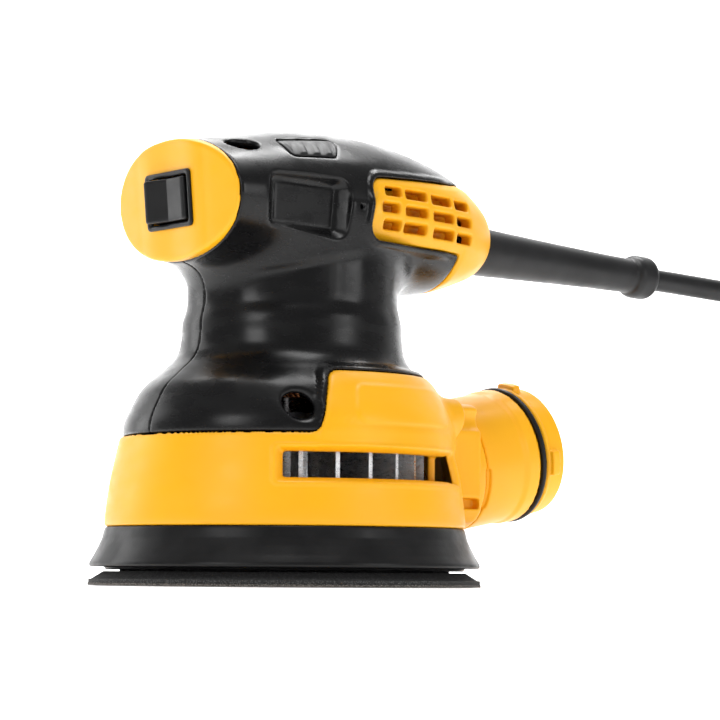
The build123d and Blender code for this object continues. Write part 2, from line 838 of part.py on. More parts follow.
def make_skirt():
    """Flexible ring: a wall from inside the shroud down to the pad, and a flare outside it."""
    top = shroud_foot_z
    low = skirt_bottom_z
    r = shroud_foot_radius
    flare = r + skirt_flare
    profile = [
        (r - 0.3, top),
        (r + 0.8, low + 9.8),
        (r + 1.8, low + 7.5),
        (r + 3.3, low + 4.6),
        (flare, low + 2.2),
        (flare, low + 1.2),
        (flare - 0.4, low + 0.9),
        (r - 0.2, low + 0.9),
        (r - 0.5, low),
        (r - 0.5 - skirt_wall, low),
        (r - 0.5 - skirt_wall, top + 4.5),
        (r - shroud_wall - lid_clearance, top + 4.5),
        (r - shroud_wall - lid_clearance, top),
    ]
    return turned(profile)


# ---------------------------------------------------------------- switch
def switch_block(width, height, low, high):
    """Block on the switch axis, between two distances in front of the cap's rim."""
    return extrude(front_plane.offset(low) * Rectangle(width, height), high - low)


def make_switch_bezel():
    body = switch_block(bezel_width, bezel_height, cap_face + 0.2, cap_face + bezel_stand)
    neck = switch_block(bezel_width - 3.4, bezel_height - 3.4, -2.0, cap_face + 0.3)
    body += neck
    hole = switch_block(rocker_width + 0.8, rocker_height + 0.8, -5, cap_face + 5)
    return body - hole


def make_switch_rocker():
    """Rocker with a shallow valley down its middle, at rest tipped to one side."""
    half = rocker_width / 2
    plan = make_face(
        Polyline(
            (-half, -1.2),
            (-half + 0.4, 3.6),
            (-half + 2.0, 4.6),
            (0, 3.3),
            (half - 2.0, 4.6),
            (half - 0.4, 3.6),
            (half, -1.2),
            close=True,
        )
    )
    upright = Plane(
        origin=rocker_pivot() - front_plane.y_dir * rocker_height / 2,
        x_dir=(-1, 0, 0),
        z_dir=front_plane.y_dir,
    )
    body = extrude(upright * plan, rocker_height)
    turn = Axis(rocker_pivot(), front_plane.y_dir)
    return body.rotate(turn, rocker_throw / 2)


def rocker_pivot():
    return front_plane.origin + front_plane.z_dir * pivot_depth


def make_switch_body():
    return switch_block(bezel_width - 3.4, bezel_height - 5.8, -20, -2.0) + [
        front_plane.offset(-24) * (Pos(x, 0, 2) * Box(1, 5, 4.2)) for x in (-7, 0, 7)
    ]


# ---------------------------------------------------------------- cord set
lead_points = [
    (0, guard_end_y, guard_tip_z),
    (0, 196, 107.58),
    (8.5, 227.5, 103.3),
    (26.5, 253.5, 93),
    (38.5, 276.5, 70),
    (41.5, 298, 43),
    (37.5, 319, 19),
    (25, 340.5, cord_radius + 0.05),
    (4, 358, cord_radius + 0.05),
    (-18, 367.6, cord_radius + 0.05),
]
tail_points = [
    (-71.1, 358, 26.4),
    (-84.6, 341.9, 28.5),
    (-89.2, 321.3, 32),
    (-83.7, 301, 36.5),
    (-69.5, 285.5, coil_height + plug_height / 2 + 0.1),
    (-49.8, 278.3, coil_height + plug_height / 2 + 0.1),
]


def cord_tube(points, name):
    """Cord along straight runs joined by the largest arcs that the runs allow."""
    runs = [(Vector(*b) - Vector(*a)) for a, b in zip(points, points[1:])]
    radii = []
    for before, after in zip(runs, runs[1:]):
        half_turn = radians(before.get_angle(after)) / 2
        radii.append(0.45 * min(before.length, after.length) / tan(half_turn))
    path = FilletPolyline(*points, radius=radii)
    section = Plane(origin=points[0], z_dir=runs[0]) * Circle(cord_radius)
    tube = sweep(section, path)
    share = tube.volume / (pi * cord_radius**2 * path.length)
    print(name, "length", round(path.length, 1), "volume share", round(share, 4))
    print(name, "arc radii", [round(radius, 1) for radius in radii])
    return tube


def make_cord_guard():
    """Tapered sleeve with a flange inside the cover and a ring at its tip."""
    drop = guard_z - guard_tip_z
    tilt = drop / (guard_end_y - guard_start_y)
    along = Vector(0, 1, -tilt).normalized()
    start = Vector(0, guard_start_y, guard_z)
    length = (Vector(0, guard_end_y, guard_tip_z) - start).length
    place = Plane(origin=start, x_dir=(1, 0, 0), z_dir=along)
    root = place * Circle(guard_root_radius)
    body = loft([root, place.offset(length - 8) * Circle(guard_tip_radius)])
    body += extrude(place.offset(length - 8.5) * Circle(guard_tip_radius + 1.8), 8.5)
    body += extrude(place.offset(-6) * Circle(guard_root_radius - 0.4), 6.5)
    body += extrude(place.offset(-9) * Circle(guard_root_radius + 0.8), 3.5)
    return body


def make_cord_coil():
    """Outer shape of the coiled length."""
    outer = coil_radius + coil_half
    body = ring(outer, coil_radius - coil_half, 0, coil_height, coil_centre)
    return chamfer(body.edges().filter_by(GeomType.CIRCLE), 2.0)


def make_cord_tie():
    """Strap over the bundle, on the side away from the plug."""
    half = coil_half + lid_clearance
    height = coil_height + lid_clearance
    x = (coil_centre[0] - 6, coil_centre[0] + 6)
    middle = coil_centre[1] + coil_radius
    strap = 1.2
    bulge = 0.6
    outer_y = (middle - half - bulge - strap, middle + half + strap)
    outer = block(x, outer_y, (0, height + strap))
    inner_y = (middle - half - bulge, middle + half)
    return outer - block((x[0] - 1, x[1] + 1), inner_y, (-1, height))


def plug_plane():
    """Where the cord enters the plug: its normal is the way the cord runs there."""
    start = Vector(*tail_points[-1])
    along = start - Vector(*tail_points[-2])
    return Plane(origin=start, x_dir=Vector(0, 0, 1).cross(along), z_dir=along)


def make_plug_body():
    """Moulded plug lying flat on the coil, with its own short strain relief."""
    place = plug_plane()
    relief = 14.0
    body = loft([place * Circle(4.6), place.offset(relief) * Circle(6.4)])
    outline = RectangleRounded(plug_width, plug_height, 5.0)
    return body + extrude(place.offset(relief) * outline, plug_length - relief)


def make_plug_blades():
    face = plug_plane().offset(plug_length)
    sides = (-blade_spacing / 2, blade_spacing / 2)
    return [extrude(face * (Pos(x, 0) * Rectangle(1.5, 6.35)), blade_length) for x in sides]


def make_cord_clamp():
    """Bar across the cord behind the guard."""
    bar = block((-13, 13), (clamp_y - 3.4, clamp_y + 3.4), (clamp_z, clamp_z + clamp_thickness))
    for x in (-clamp_screw_x, clamp_screw_x):
        bar -= disc(1.6, clamp_z - 1, clamp_z + clamp_thickness + 1, (x, clamp_y))
    return bar


def make_clamp_screws():
    shapes = []
    head_z = clamp_z + clamp_thickness + screw_head_height
    for x in (-clamp_screw_x, clamp_screw_x):
        shapes.append(screw((x, clamp_y, head_z), (x, clamp_y, clamp_z - 8), 2.8, 1.5))
    return shapes


def make_housing_screws():
    shapes = []
    for y, z in screw_places:
        shapes.append(screw((9.0 + screw_head_height, y, z), (-14.0, y, z)))
    return shapes


def make_shroud_screws():
    y = shroud_screw_y - shroud_screw_sink + screw_head_height
    places = (-shroud_screw_x, shroud_screw_x)
    return [screw((x, y, shroud_screw_z), (x, y - 13, shroud_screw_z)) for x in places]


def write_parts():
    """Build every node and write it."""
    nodes = {
        "sanding_disc": make_sanding_disc,
        "hook_layer": make_hook_layer,
        "pad_foam": make_pad_foam,
        "pad_hub": make_pad_hub,
        "pad_screws": make_pad_screws,
        "pad_spindle": make_pad_spindle,
        "pad_bearing": make_pad_bearing,
        "counterweight": make_counterweight,
        "fan": make_fan,
        "motor_shaft": make_motor_shaft,
        "armature_core": make_armature_core,
        "armature_winding": make_armature_winding,
        "commutator": make_commutator,
        "stator_core": make_stator_core,
        "field_coils": make_field_coils,
        "brushes": make_brushes,
        "brush_holders": make_brush_holders,
        "brush_springs": make_brush_springs,
        "upper_bearing": make_upper_bearing,
        "bearing_boot": make_bearing_boot,
        "lower_bearing": make_lower_bearing,
        "bearing_plate": make_bearing_plate,
        "plate_screws": make_plate_screws,
        "housing_right": lambda: make_housing(1),
        "housing_left": lambda: make_housing(-1),
        "housing_screws": make_housing_screws,
        "grip_pads": make_grip_pads,
        "front_cap": make_front_cap,
        "switch_bezel": make_switch_bezel,
        "switch_rocker": make_switch_rocker,
        "switch_body": make_switch_body,
        "rear_cover": make_rear_cover,
        "shroud": make_shroud,
        "shroud_screws": make_shroud_screws,
        "dust_port": make_dust_port,
        "port_seal": make_port_seal,
        "skirt": make_skirt,
        "cord_guard": make_cord_guard,
        "cord_clamp": make_cord_clamp,
        "clamp_screws": make_clamp_screws,
        "cord_lead": lambda: cord_tube(lead_points, "cord_lead"),
        "cord_coil": make_cord_coil,
        "cord_tie": make_cord_tie,
        "cord_tail": lambda: cord_tube(tail_points, "cord_tail"),
        "plug_body": make_plug_body,
        "plug_blades": make_plug_blades,
    }
    os.makedirs("parts", exist_ok=True)
    for name, maker in nodes.items():
        made = maker()
        save(name, *(made if isinstance(made, (list, tuple)) else [made]))


write_parts()
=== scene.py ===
import json
from math import cos, hypot, pi, radians, sin

import bpy
import numpy as np
import openvdb
from mathutils import Matrix, Vector


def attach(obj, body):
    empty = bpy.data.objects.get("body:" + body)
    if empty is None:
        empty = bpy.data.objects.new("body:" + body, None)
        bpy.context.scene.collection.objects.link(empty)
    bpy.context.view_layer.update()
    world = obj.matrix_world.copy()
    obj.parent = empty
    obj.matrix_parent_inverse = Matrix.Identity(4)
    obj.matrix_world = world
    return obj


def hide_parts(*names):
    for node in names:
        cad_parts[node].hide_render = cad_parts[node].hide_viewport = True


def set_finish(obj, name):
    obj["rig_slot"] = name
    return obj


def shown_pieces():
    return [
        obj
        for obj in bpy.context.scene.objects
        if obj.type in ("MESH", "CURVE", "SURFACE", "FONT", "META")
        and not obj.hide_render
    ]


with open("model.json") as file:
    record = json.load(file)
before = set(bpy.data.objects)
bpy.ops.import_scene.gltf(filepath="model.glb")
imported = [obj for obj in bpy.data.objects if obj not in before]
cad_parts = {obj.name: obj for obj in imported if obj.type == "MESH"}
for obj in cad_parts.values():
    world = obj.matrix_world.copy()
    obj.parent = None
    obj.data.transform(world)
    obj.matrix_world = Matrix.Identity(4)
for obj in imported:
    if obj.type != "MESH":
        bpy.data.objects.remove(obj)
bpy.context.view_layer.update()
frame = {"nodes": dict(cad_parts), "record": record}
nodes = frame["nodes"]

# Shapes are worked out in millimetres, in the frame of the CAD model, and made in metres.
MM = 0.001

VIEW_HEADING = radians(52.5)    # the camera looks this far round from +Y, towards -X


# ---------------------------------------------------------------- camera
def add_camera():
    """Low view from the front right of the tool."""
    rise = radians(4.32)
    roll = radians(0.4)
    forward = Vector((-sin(VIEW_HEADING), cos(VIEW_HEADING), 0)) * cos(rise)
    forward.z = sin(rise)
    right = forward.cross(Vector((0, 0, 1))).normalized()
    up = right.cross(forward)
    right, up = right * cos(roll) + up * sin(roll), up * cos(roll) - right * sin(roll)
    data = bpy.data.cameras.new("camera")
    data.lens = 140.6
    data.sensor_width = 36.0
    data.clip_start = 0.01
    data.clip_end = 20.0
    camera = bpy.data.objects.new("camera", data)
    turn = Matrix((right, up, -forward)).transposed().to_4x4()
    camera.matrix_world = Matrix.Translation((0.7284, -0.5292, 0.0045)) @ turn
    bpy.context.scene.collection.objects.link(camera)
    bpy.context.scene.camera = camera


add_camera()

# ---------------------------------------------------------------- cord
CORD_RADIUS = 3.85
LEAD = [
    (0, 158.5, 109.4),
    (0, 196, 107.58),
    (8.5, 227.5, 103.3),
    (26.5, 253.5, 93),
    (38.5, 276.5, 70),
    (41.5, 298, 43),
    (37.5, 319, 19),
    (25, 340.5, CORD_RADIUS + 0.05),
    (4, 358, CORD_RADIUS + 0.05),
    (-18, 367.6, CORD_RADIUS + 0.05),
]
TAIL = [
    (-71.1, 358, 26.4),
    (-84.6, 341.9, 28.5),
    (-89.2, 321.3, 32),
    (-83.7, 301, 36.5),
    (-69.5, 285.5, 37.9),
    (-49.8, 278.3, 37.9),
]
COIL_CENTRE = (-41.0, 319.0)
COIL_RADII = (36.3, 51.7)
CUT_IN = 0.978          # the line runs this share of its points' distance from the centre


def coil_points():
    """Turns of the coil: four flat spirals, each laid on the one below."""
    start, end = 88.7, 2983.7
    spiral, climb = 720.0, 60.0
    inner, outer = COIL_RADII
    count = 121
    points = []
    for i in range(count):
        angle = start + (end - start) * i / (count - 1)
        layer, rest = divmod(angle - start, spiral + climb)
        share = min(rest / spiral, 1.0)
        if layer == 3:      # the top layer stops short, where the tail leaves
            share = rest / (end - start - 3 * (spiral + climb)) * 0.845
        if layer % 2:
            radius = inner + (outer - inner) * share
        else:
            radius = outer + (inner - outer) * share
        lift = max(0.0, rest - spiral) / climb
        lift = lift * lift * (3 - 2 * lift)
        z = CORD_RADIUS + 0.05 + 2 * CORD_RADIUS * min(layer + lift, 2.99)
        turn = radians(angle)
        reach = radius / CUT_IN
        points.append((COIL_CENTRE[0] + reach * cos(turn), COIL_CENTRE[1] + reach * sin(turn), z))
    return points


def make_cord():
    """One smooth line: out of the guard, down to the bench, round the coil and up to the plug."""
    curve = bpy.data.curves.new("cord", "CURVE")
    curve.dimensions = "3D"
    spline = curve.splines.new("NURBS")
    route = LEAD + coil_points() + TAIL
    spline.points.add(len(route) - 1)
    for point, place in zip(spline.points, route):
        point.co = (place[0] * MM, place[1] * MM, place[2] * MM, 1.0)
        point.radius = CORD_RADIUS * MM     # with a bevel of 1: a curve's box grows by this
    spline.order_u = 3
    spline.use_endpoint_u = True
    spline.resolution_u = 6
    curve.bevel_depth = 1.0
    curve.bevel_resolution = 5
    cord = bpy.data.objects.new("cord", curve)
    bpy.context.scene.collection.objects.link(cord)
    return cord


cord = make_cord()


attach(cord, "root")
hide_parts("cord_lead", "cord_coil", "cord_tail")
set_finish(cord, "cord_rubber")

# ---------------------------------------------------------------- distance fields
# A field is negative inside a shape and positive outside, in millimetres.
def smooth_max(a, b, soft):
    """Where two fields cross, a rounded edge instead of a sharp one."""
    blend = np.maximum(soft - np.abs(a - b), 0.0) / soft
    return np.maximum(a, b) + blend * blend * soft * 0.25


def smooth_min(a, b, soft):
    return -smooth_max(-a, -b, soft)


def both(*fields, soft=0.8):
    """The part that all shapes share."""
    result = fields[0]
    for field in fields[1:]:
        result = smooth_max(result, field, soft)
    return result


def cut(field, tool, soft=0.8):
    return smooth_max(field, -tool, soft)


def ramp(value, start, end):
    """0 before start, 1 after end, smooth between."""
    share = np.clip((value - start) / (end - start), 0.0, 1.0)
    return share * share * (3 - 2 * share)


def band(value, start, end, soft):
    """1 between start and end, fading over soft on each side."""
    return ramp(value, start - soft, start) * (1 - ramp(value, end, end + soft))


def curve_through(places, values, at):
    """Smooth curve through the values, at the places asked for."""
    places = np.asarray(places, float)
    values = np.asarray(values, float)
    slope = np.gradient(values, places)
    at = np.clip(at, places[0], places[-1])
    i = np.clip(np.searchsorted(places, at, side="right") - 1, 0, len(places) - 2)
    width = places[i + 1] - places[i]
    t = (at - places[i]) / width
    start = values[i] * (1 + 2 * t) * (1 - t) ** 2 + slope[i] * width * t * (1 - t) ** 2
    end = values[i + 1] * t * t * (3 - 2 * t) + slope[i + 1] * width * t * t * (t - 1)
    return (start + end).astype(np.float32)


def drawn_in(points, inset):
    """A convex outline with every side moved inwards."""
    count = len(points)
    area = sum(
        points[i][0] * points[(i + 1) % count][1] - points[(i + 1) % count][0] * points[i][1]
        for i in range(count)
    )
    sign = 1 if area > 0 else -1
    lines = []
    for i in range(count):
        (u0, v0), (u1, v1) = points[i], points[(i + 1) % count]
        length = hypot(u1 - u0, v1 - v0)
        nu, nv = sign * (v1 - v0) / length, -sign * (u1 - u0) / length
        lines.append((nu, nv, nu * u0 + nv * v0 - inset))
    corners = []
    for i in range(count):
        (a, b, e), (c, d, f) = lines[i - 1], lines[i]
        det = a * d - b * c
        corners.append(((e * d - b * f) / det, (a * f - e * c) / det))
    return corners


def outline(u, v, points, rounding=0.0):
    """Distance from a closed convex outline with rounded corners."""
    corners = drawn_in(points, rounding) if rounding else points
    nearest = np.full(np.broadcast(u, v).shape, 1e9, np.float32)
    inside = np.zeros(nearest.shape, bool)
    for (u0, v0), (u1, v1) in zip(corners, corners[1:] + corners[:1]):
        du, dv = u1 - u0, v1 - v0
        t = np.clip(((u - u0) * du + (v - v0) * dv) / (du * du + dv * dv), 0, 1)
        nearest = np.minimum(nearest, (u - u0 - du * t) ** 2 + (v - v0 - dv * t) ** 2)
        if dv:
            crosses = ((v0 > v) != (v1 > v)) & (u < du * (v - v0) / dv + u0)
            inside ^= crosses
    return np.where(inside, -1, 1).astype(np.float32) * np.sqrt(nearest) - rounding


def rounded_box(u, v, half_u, half_v, rounding):
    """Distance from a rectangle about the origin."""
    a = np.abs(u) - (half_u - rounding)
    b = np.abs(v) - (half_v - rounding)
    outside = np.hypot(np.maximum(a, 0), np.maximum(b, 0))
    return outside + np.minimum(np.maximum(a, b), 0) - rounding


def ellipse(u, v, half_u, half_v):
    """Near distance from an ellipse about the origin."""
    reach = np.sqrt((u / half_u) ** 2 + (v / half_v) ** 2)
    slope = np.sqrt((u / half_u**2) ** 2 + (v / half_v**2) ** 2)
    return np.maximum((reach - 1) * reach / (slope + 1e-6), -half_v)


class Grid:
    """Regular sample points over a box."""

    def __init__(self, low, high, step):
        self.low = np.array(low, float)
        self.step = step
        counts = [int((b - a) / step) + 2 for a, b in zip(low, high)]
        x, y, z = (self.low[i] + step * np.arange(counts[i]) for i in range(3))
        self.x = x[:, None, None].astype(np.float32)
        self.y = y[None, :, None].astype(np.float32)
        self.z = z[None, None, :].astype(np.float32)
        self.shape = tuple(counts)


def sample(field, places):
    """Values of a field between its sample points."""
    top = np.array(field.shape) - 1.001
    places = np.clip(places, 0, top)
    base = places.astype(int)
    share = places - base
    i, j, k = base.T
    a, b, c = share.T
    total = 0
    for di, wa in ((0, 1 - a), (1, a)):
        for dj, wb in ((0, 1 - b), (1, b)):
            for dk, wc in ((0, 1 - c), (1, c)):
                total = total + field[i + di, j + dj, k + dk] * wa * wb * wc
    return total


def slopes(field, places):
    """Direction in which a field grows, of length 1 or less where it is flat."""
    reach = 0.75
    columns = []
    for axis in range(3):
        shift = np.zeros(3)
        shift[axis] = reach
        ahead, behind = sample(field, places + shift), sample(field, places - shift)
        columns.append((ahead - behind) / (2 * reach))
    return np.stack(columns, axis=1)


def solid(name, grid, field, flip_x=False):
    """Mesh of the surface where a field is 0, its points pulled onto that surface."""
    field = np.broadcast_to(field, grid.shape).astype(np.float32)
    field = np.clip(field, -4 * grid.step, 4 * grid.step)
    volume = openvdb.FloatGrid(4 * grid.step)
    volume.copyFromArray(np.ascontiguousarray(field))
    places, triangles, quads = volume.convertToPolygons(isovalue=0.0, adaptivity=0.0)
    places = np.asarray(places, float)
    for _ in range(3):
        slope = slopes(field, places)
        square = np.maximum((slope * slope).sum(axis=1), 0.05)
        move = sample(field, places) / square
        places = places - np.clip(move, -0.4, 0.4)[:, None] * slope
    normals = slopes(field, places)
    normals /= np.linalg.norm(normals, axis=1)[:, None] + 1e-9
    points = (grid.low + places * grid.step) * MM
    faces = [tuple(f) for f in np.asarray(triangles, int).tolist()]
    faces += [tuple(f) for f in np.asarray(quads, int).tolist()]
    if flip_x:
        points[:, 0] *= -1
        normals[:, 0] *= -1
    mesh = bpy.data.meshes.new(name)
    mesh.from_pydata(points.tolist(), [], faces)
    facing = sum(
        mesh.polygons[i].normal.dot(Vector(normals[mesh.polygons[i].vertices[0]].tolist()))
        for i in range(0, len(mesh.polygons), 97)
    )
    if facing < 0:
        mesh.flip_normals()
    mesh.shade_smooth()
    mesh.validate()
    mesh.normals_split_custom_set_from_vertices([n.tolist() for n in normals])
    piece = bpy.data.objects.new(name, mesh)
    bpy.context.scene.collection.objects.link(piece)
    return piece


def settle(piece, body, slot, *replaced):
    """Rides on a body, takes a slot's finish and stands for the CAD nodes named."""
    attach(piece, body)
    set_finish(piece, slot)
    if replaced:
        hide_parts(*replaced)
    return piece


# ---------------------------------------------------------------- head and bell
FRONT_Y, FRONT_Z, FRONT_TILT = -42.0, 120.3, radians(5.0)
FRONT_WIDE, FRONT_HIGH = 34.1, 19.1
REAR_Y = 78.0
# Ovals of the head: Y, half width, lowest and highest Z.
SECTIONS = [
    (FRONT_Y, FRONT_WIDE, FRONT_Z - FRONT_HIGH, FRONT_Z + FRONT_HIGH),
    (-28.0, 34.6, 99.2, 141.6),
    (-10.0, 34.6, 97.4, 144.9),
    (8.0, 33.8, 96.4, 145.8),
    (26.0, 31.6, 95.8, 144.9),
    (43.0, 28.0, 95.8, 141.9),
    (57.0, 23.2, 97.6, 137.6),
    (68.0, 17.4, 101.2, 131.8),
    (78.0, 10.6, 105.0, 125.4),
]
# Radius of the bell and its height.
BELL = [(51.5, 40.0), (51.5, 52.0), (48.9, 57.6), (45.9, 62.7), (40.8, 67.8), (35.9, 72.9),
        (34.0, 78.0), (33.6, 84.0)]
NECK_Y, NECK_RADIUS = 2.0, 34.0
HOUSING_WALL = 2.6
POCKET_DEPTH = 3.2
SCREWS = [(-25.4, 54.8), (30.0, 60.0)]      # Y and Z of the wells in the bell
SCREW_FLOOR = 9.2
SHOULDER_TILT = (0.38, 0.925)               # X and Z of the way the shoulder faces
COARSE, MEDIUM, FINE, FINEST = 0.62, 0.5, 0.35, 0.3     # sample steps


def front_distance(g):
    """How far a point is in front of the plane where the cap meets the housing."""
    return -cos(FRONT_TILT) * (g.y - FRONT_Y) - sin(FRONT_TILT) * (g.z - FRONT_Z)


def front_height(g):
    """How far a point is up that plane from its middle."""
    return cos(FRONT_TILT) * (g.z - FRONT_Z) - sin(FRONT_TILT) * (g.y - FRONT_Y)


def head_field(g):
    """Ovals from the cap to the cord, close to a true distance near the skin."""
    places, wide, low, high = (list(column) for column in zip(*SECTIONS))
    y = g.y[0, :, 0]
    half_wide = curve_through(places, wide, y)
    bottom = curve_through(places, low, y)
    top = curve_through(places, high, y)
    half_high = (top - bottom) / 2
    middle = (top + bottom) / 2
    taper = np.gradient((half_wide + half_high) / 2, y)
    shrink = (1 / np.sqrt(1 + taper**2))[None, :, None]
    a, b, c = (v[None, :, None] for v in (half_wide, half_high, middle))
    field = ellipse(g.x, g.z - c, a, b) * shrink
    field = smooth_max(field, g.y - REAR_Y + 0 * g.x, 7.0)
    return smooth_max(field, front_distance(g) + 0 * g.x, 0.7)


def bell_field(g):
    """Turned bell, whose centre moves back to the neck's as it rises."""
    radii, heights = zip(*BELL)
    radius = curve_through(heights, radii, g.z[0, 0, :])
    slope = np.gradient(radius, g.z[0, 0, :])
    near = np.hypot(g.x, g.y - NECK_Y * ramp(g.z, 58.0, 80.0)) - radius[None, None, :]
    return near / np.sqrt(1 + slope**2)[None, None, :]


def body_field(g):
    """Whole black form: head, neck and bell."""
    neck = np.hypot(g.x, g.y - NECK_Y) - NECK_RADIUS
    neck = smooth_max(neck, g.z - 118.0, 2.0)
    neck = smooth_max(neck, 74.0 - g.z, 2.0)
    bell = smooth_max(bell_field(g), g.z - 84.0, 4.0)
    field = smooth_min(neck, bell, 6.0)
    return smooth_min(head_field(g), field, 9.0)


def cover_distance(g):
    """Side view of the rear cover: its tongue and the whole rear end."""
    tongue = [(9.5, 128.8), (80.0, 132.6), (80.0, 108.4), (6.5, 109.2)]
    rear = [(61.0, 131.6), (66.0, 140.0), (66.0, 170.0), (130.0, 170.0), (130.0, 70.0),
            (54.0, 70.0), (54.0, 108.6), (54.0, 131.2)]
    near = outline(g.y, g.z, tongue, 4.5)
    return smooth_min(near, outline(g.y, g.z, rear), 1.5)


def pocket_distance(g):
    """Side view of the recess in each side of the head."""
    sides = [(-31.5, 128.6), (-0.5, 127.6), (-2.5, 107.8), (-32.0, 108.4)]
    return outline(g.y, g.z, sides, 4.0)


def grip_distance(g):
    """Side view of the ribbed patch on each shoulder."""
    sides = [(-19.5, 139.0), (4.0, 141.2), (-2.5, 134.4), (-19.0, 133.4)]
    return outline(g.y, g.z, sides, 1.5)


def apron_distance(g):
    """Side view of the shroud's apron over the rear of the bell."""
    edge = [(-23.0, 40.0), (-21.4, 49.4), (-18.6, 57.2), (-14.6, 66.4), (90.0, 66.4), (90.0, 40.0)]
    return outline(g.y, g.z, edge, 6.0)


def housing_piece(name, node, side):
    """One half of the clamshell, with soft edges, recesses and a hollow inside."""
    g = Grid((-1.6, -53.2, 40.8), (53.4, 70.0, 147.6), COARSE)
    outer = body_field(g)
    skin = outer
    # Ridge from the cap's lower edge back under the pocket: the belly steps in below it.
    ridge = curve_through((-44, -35.4, -18.7, -2.2, 12), (95, 96.8, 100.8, 104.4, 107), g.y)
    below = ramp(ridge - g.z, 0.0, 3.2) * ramp(-g.y, -8, 4) * ramp(g.z, 84, 92)
    skin = skin + 1.1 * below * ramp(g.x, 12, 26)
    # Raised lip round the cover.
    near_cover = cover_distance(g)
    lip = band(near_cover, 0.2, 2.0, 0.7) * ramp(g.x, 8, 14) * ramp(52 - g.y, 0, 8)
    skin = skin - 0.8 * lip
    # Rim along the shroud's apron.
    rim = band(apron_distance(g), 0.3, 1.9, 0.5) * ramp(g.z, 49.5, 52.5) * ramp(74 - g.z, 0, 2)
    skin = skin - 1.3 * rim
    # Recess with sloping sides.
    near_pocket = pocket_distance(g)
    floor_x = FRONT_WIDE - POCKET_DEPTH
    slope_in = np.clip(-near_pocket, 0, 3.0)
    dip = FRONT_WIDE - np.minimum(slope_in * 1.25, POCKET_DEPTH)
    skin = cut(skin, smooth_max(near_pocket + 0 * g.x, dip - g.x, 0.6), 1.0)
    # Fine groove round the panel in the recess, and a pin hole behind it.
    groove = both(np.abs(near_pocket + 3.6) - 0.28 + 0 * g.x, floor_x - 0.5 - g.x, soft=0.3)
    skin = cut(skin, smooth_max(groove, g.x - floor_x - 1.2, 0.3), 0.35)
    skin = cut(skin, np.hypot(g.y - 2.6, g.z - 118.6) - 0.7 + 0 * g.x - 2.0 * (g.x < 30), 0.4)
    # Bed of the ribbed patch.
    bed = smooth_max(grip_distance(g) - 0.25, -(outer + 1.5), 0.4)
    bed = smooth_max(bed, 8 - g.x, 0.4)
    skin = cut(skin, bed, 0.5)
    if side > 0:
        for y, z in SCREWS:
            well = np.hypot(g.y - y, g.z - z) - 4.1
            mouth = well - 1.1 * ramp(outer, -1.6, 0.4)
            skin = cut(skin, smooth_max(mouth, SCREW_FLOOR - g.x, 0.4), 1.0)
        # Round recess square to the shoulder, with the screw's own well in its floor.
        across, rise = g.x - 19.8 + 0 * g.y, g.z - 137.1 + 0 * g.y
        out = SHOULDER_TILT[0] * across + SHOULDER_TILT[1] * rise
        square = (across - SHOULDER_TILT[0] * out) ** 2 + (rise - SHOULDER_TILT[1] * out) ** 2
        aside = np.sqrt(np.maximum(square, 0) + (g.y + 32.2) ** 2)
        skin = cut(skin, both(aside - 5.5, -4.0 - out, soft=1.0), 0.9)
        well = np.hypot(g.y + 30.0, g.z - 134.3) - 4.0
        skin = cut(skin, both(well, SCREW_FLOOR - g.x, aside - 4.7, soft=0.4), 0.5)
    # Opening for the cover, spigot at the foot, hollow inside.
    skin = cut(skin, near_cover - 0.3, 0.7)
    foot = np.hypot(g.x, g.y) - 50.2
    skin = smooth_max(skin, np.minimum(46.9 - g.z, 10) + 0 * g.x, 0.6)
    spigot = both(foot, 42.8 - g.z, g.z - 48.0, soft=0.6)
    skin = smooth_min(skin, spigot, 0.3)
    hollow = outer + HOUSING_WALL
    pocket_back = smooth_max(near_pocket - HOUSING_WALL, floor_x - HOUSING_WALL - g.x, 0.8)
    hollow = cut(hollow, pocket_back, 0.8)
    inside = smooth_min(hollow, both(np.hypot(g.x, g.y) - 47.6, g.z - 54.0), 0.6)
    # Room behind the cap for the switch and its swing.
    room = rounded_box(g.x, front_height(g), 17.5, 12.5, 3.0)
    room = both(room, -14.0 - front_distance(g), soft=0.5)
    shell = cut(skin, smooth_min(inside, room, 0.4), 0.5)
    shell = smooth_max(shell, 0.04 - g.x + 0 * g.y, 0.12)
    piece = solid(name, g, shell, flip_x=side < 0)
    return settle(piece, "root", "black_plastic", node)


housing_piece("housing_right_shell", "housing_right", 1)
housing_piece("housing_left_shell", "housing_left", -1)


def grip_piece():
    """Soft patch on each shoulder, with slanting ribs."""
    g = Grid((-36, -22, 130), (36, 7, 144), FINE)
    head = head_field(g)
    near = grip_distance(g)
    along = (g.y + 20) * 0.94 + (g.z - 137) * -0.35
    rib_pitch = 4.6
    rib = np.sin(along * 2 * pi / rib_pitch)
    height = 0.15 + 0.45 * ramp(rib, -0.35, 0.35) * ramp(-near, 0.5, 1.2)
    field = both(head - height, near + 0 * g.x, -(head + 1.2), soft=0.5)
    field = smooth_max(field, 8 - np.abs(g.x), 0.4)
    piece = solid("grip_patches", g, field)
    return settle(piece, "root", "grip_rubber", "grip_pads")


grip_piece()


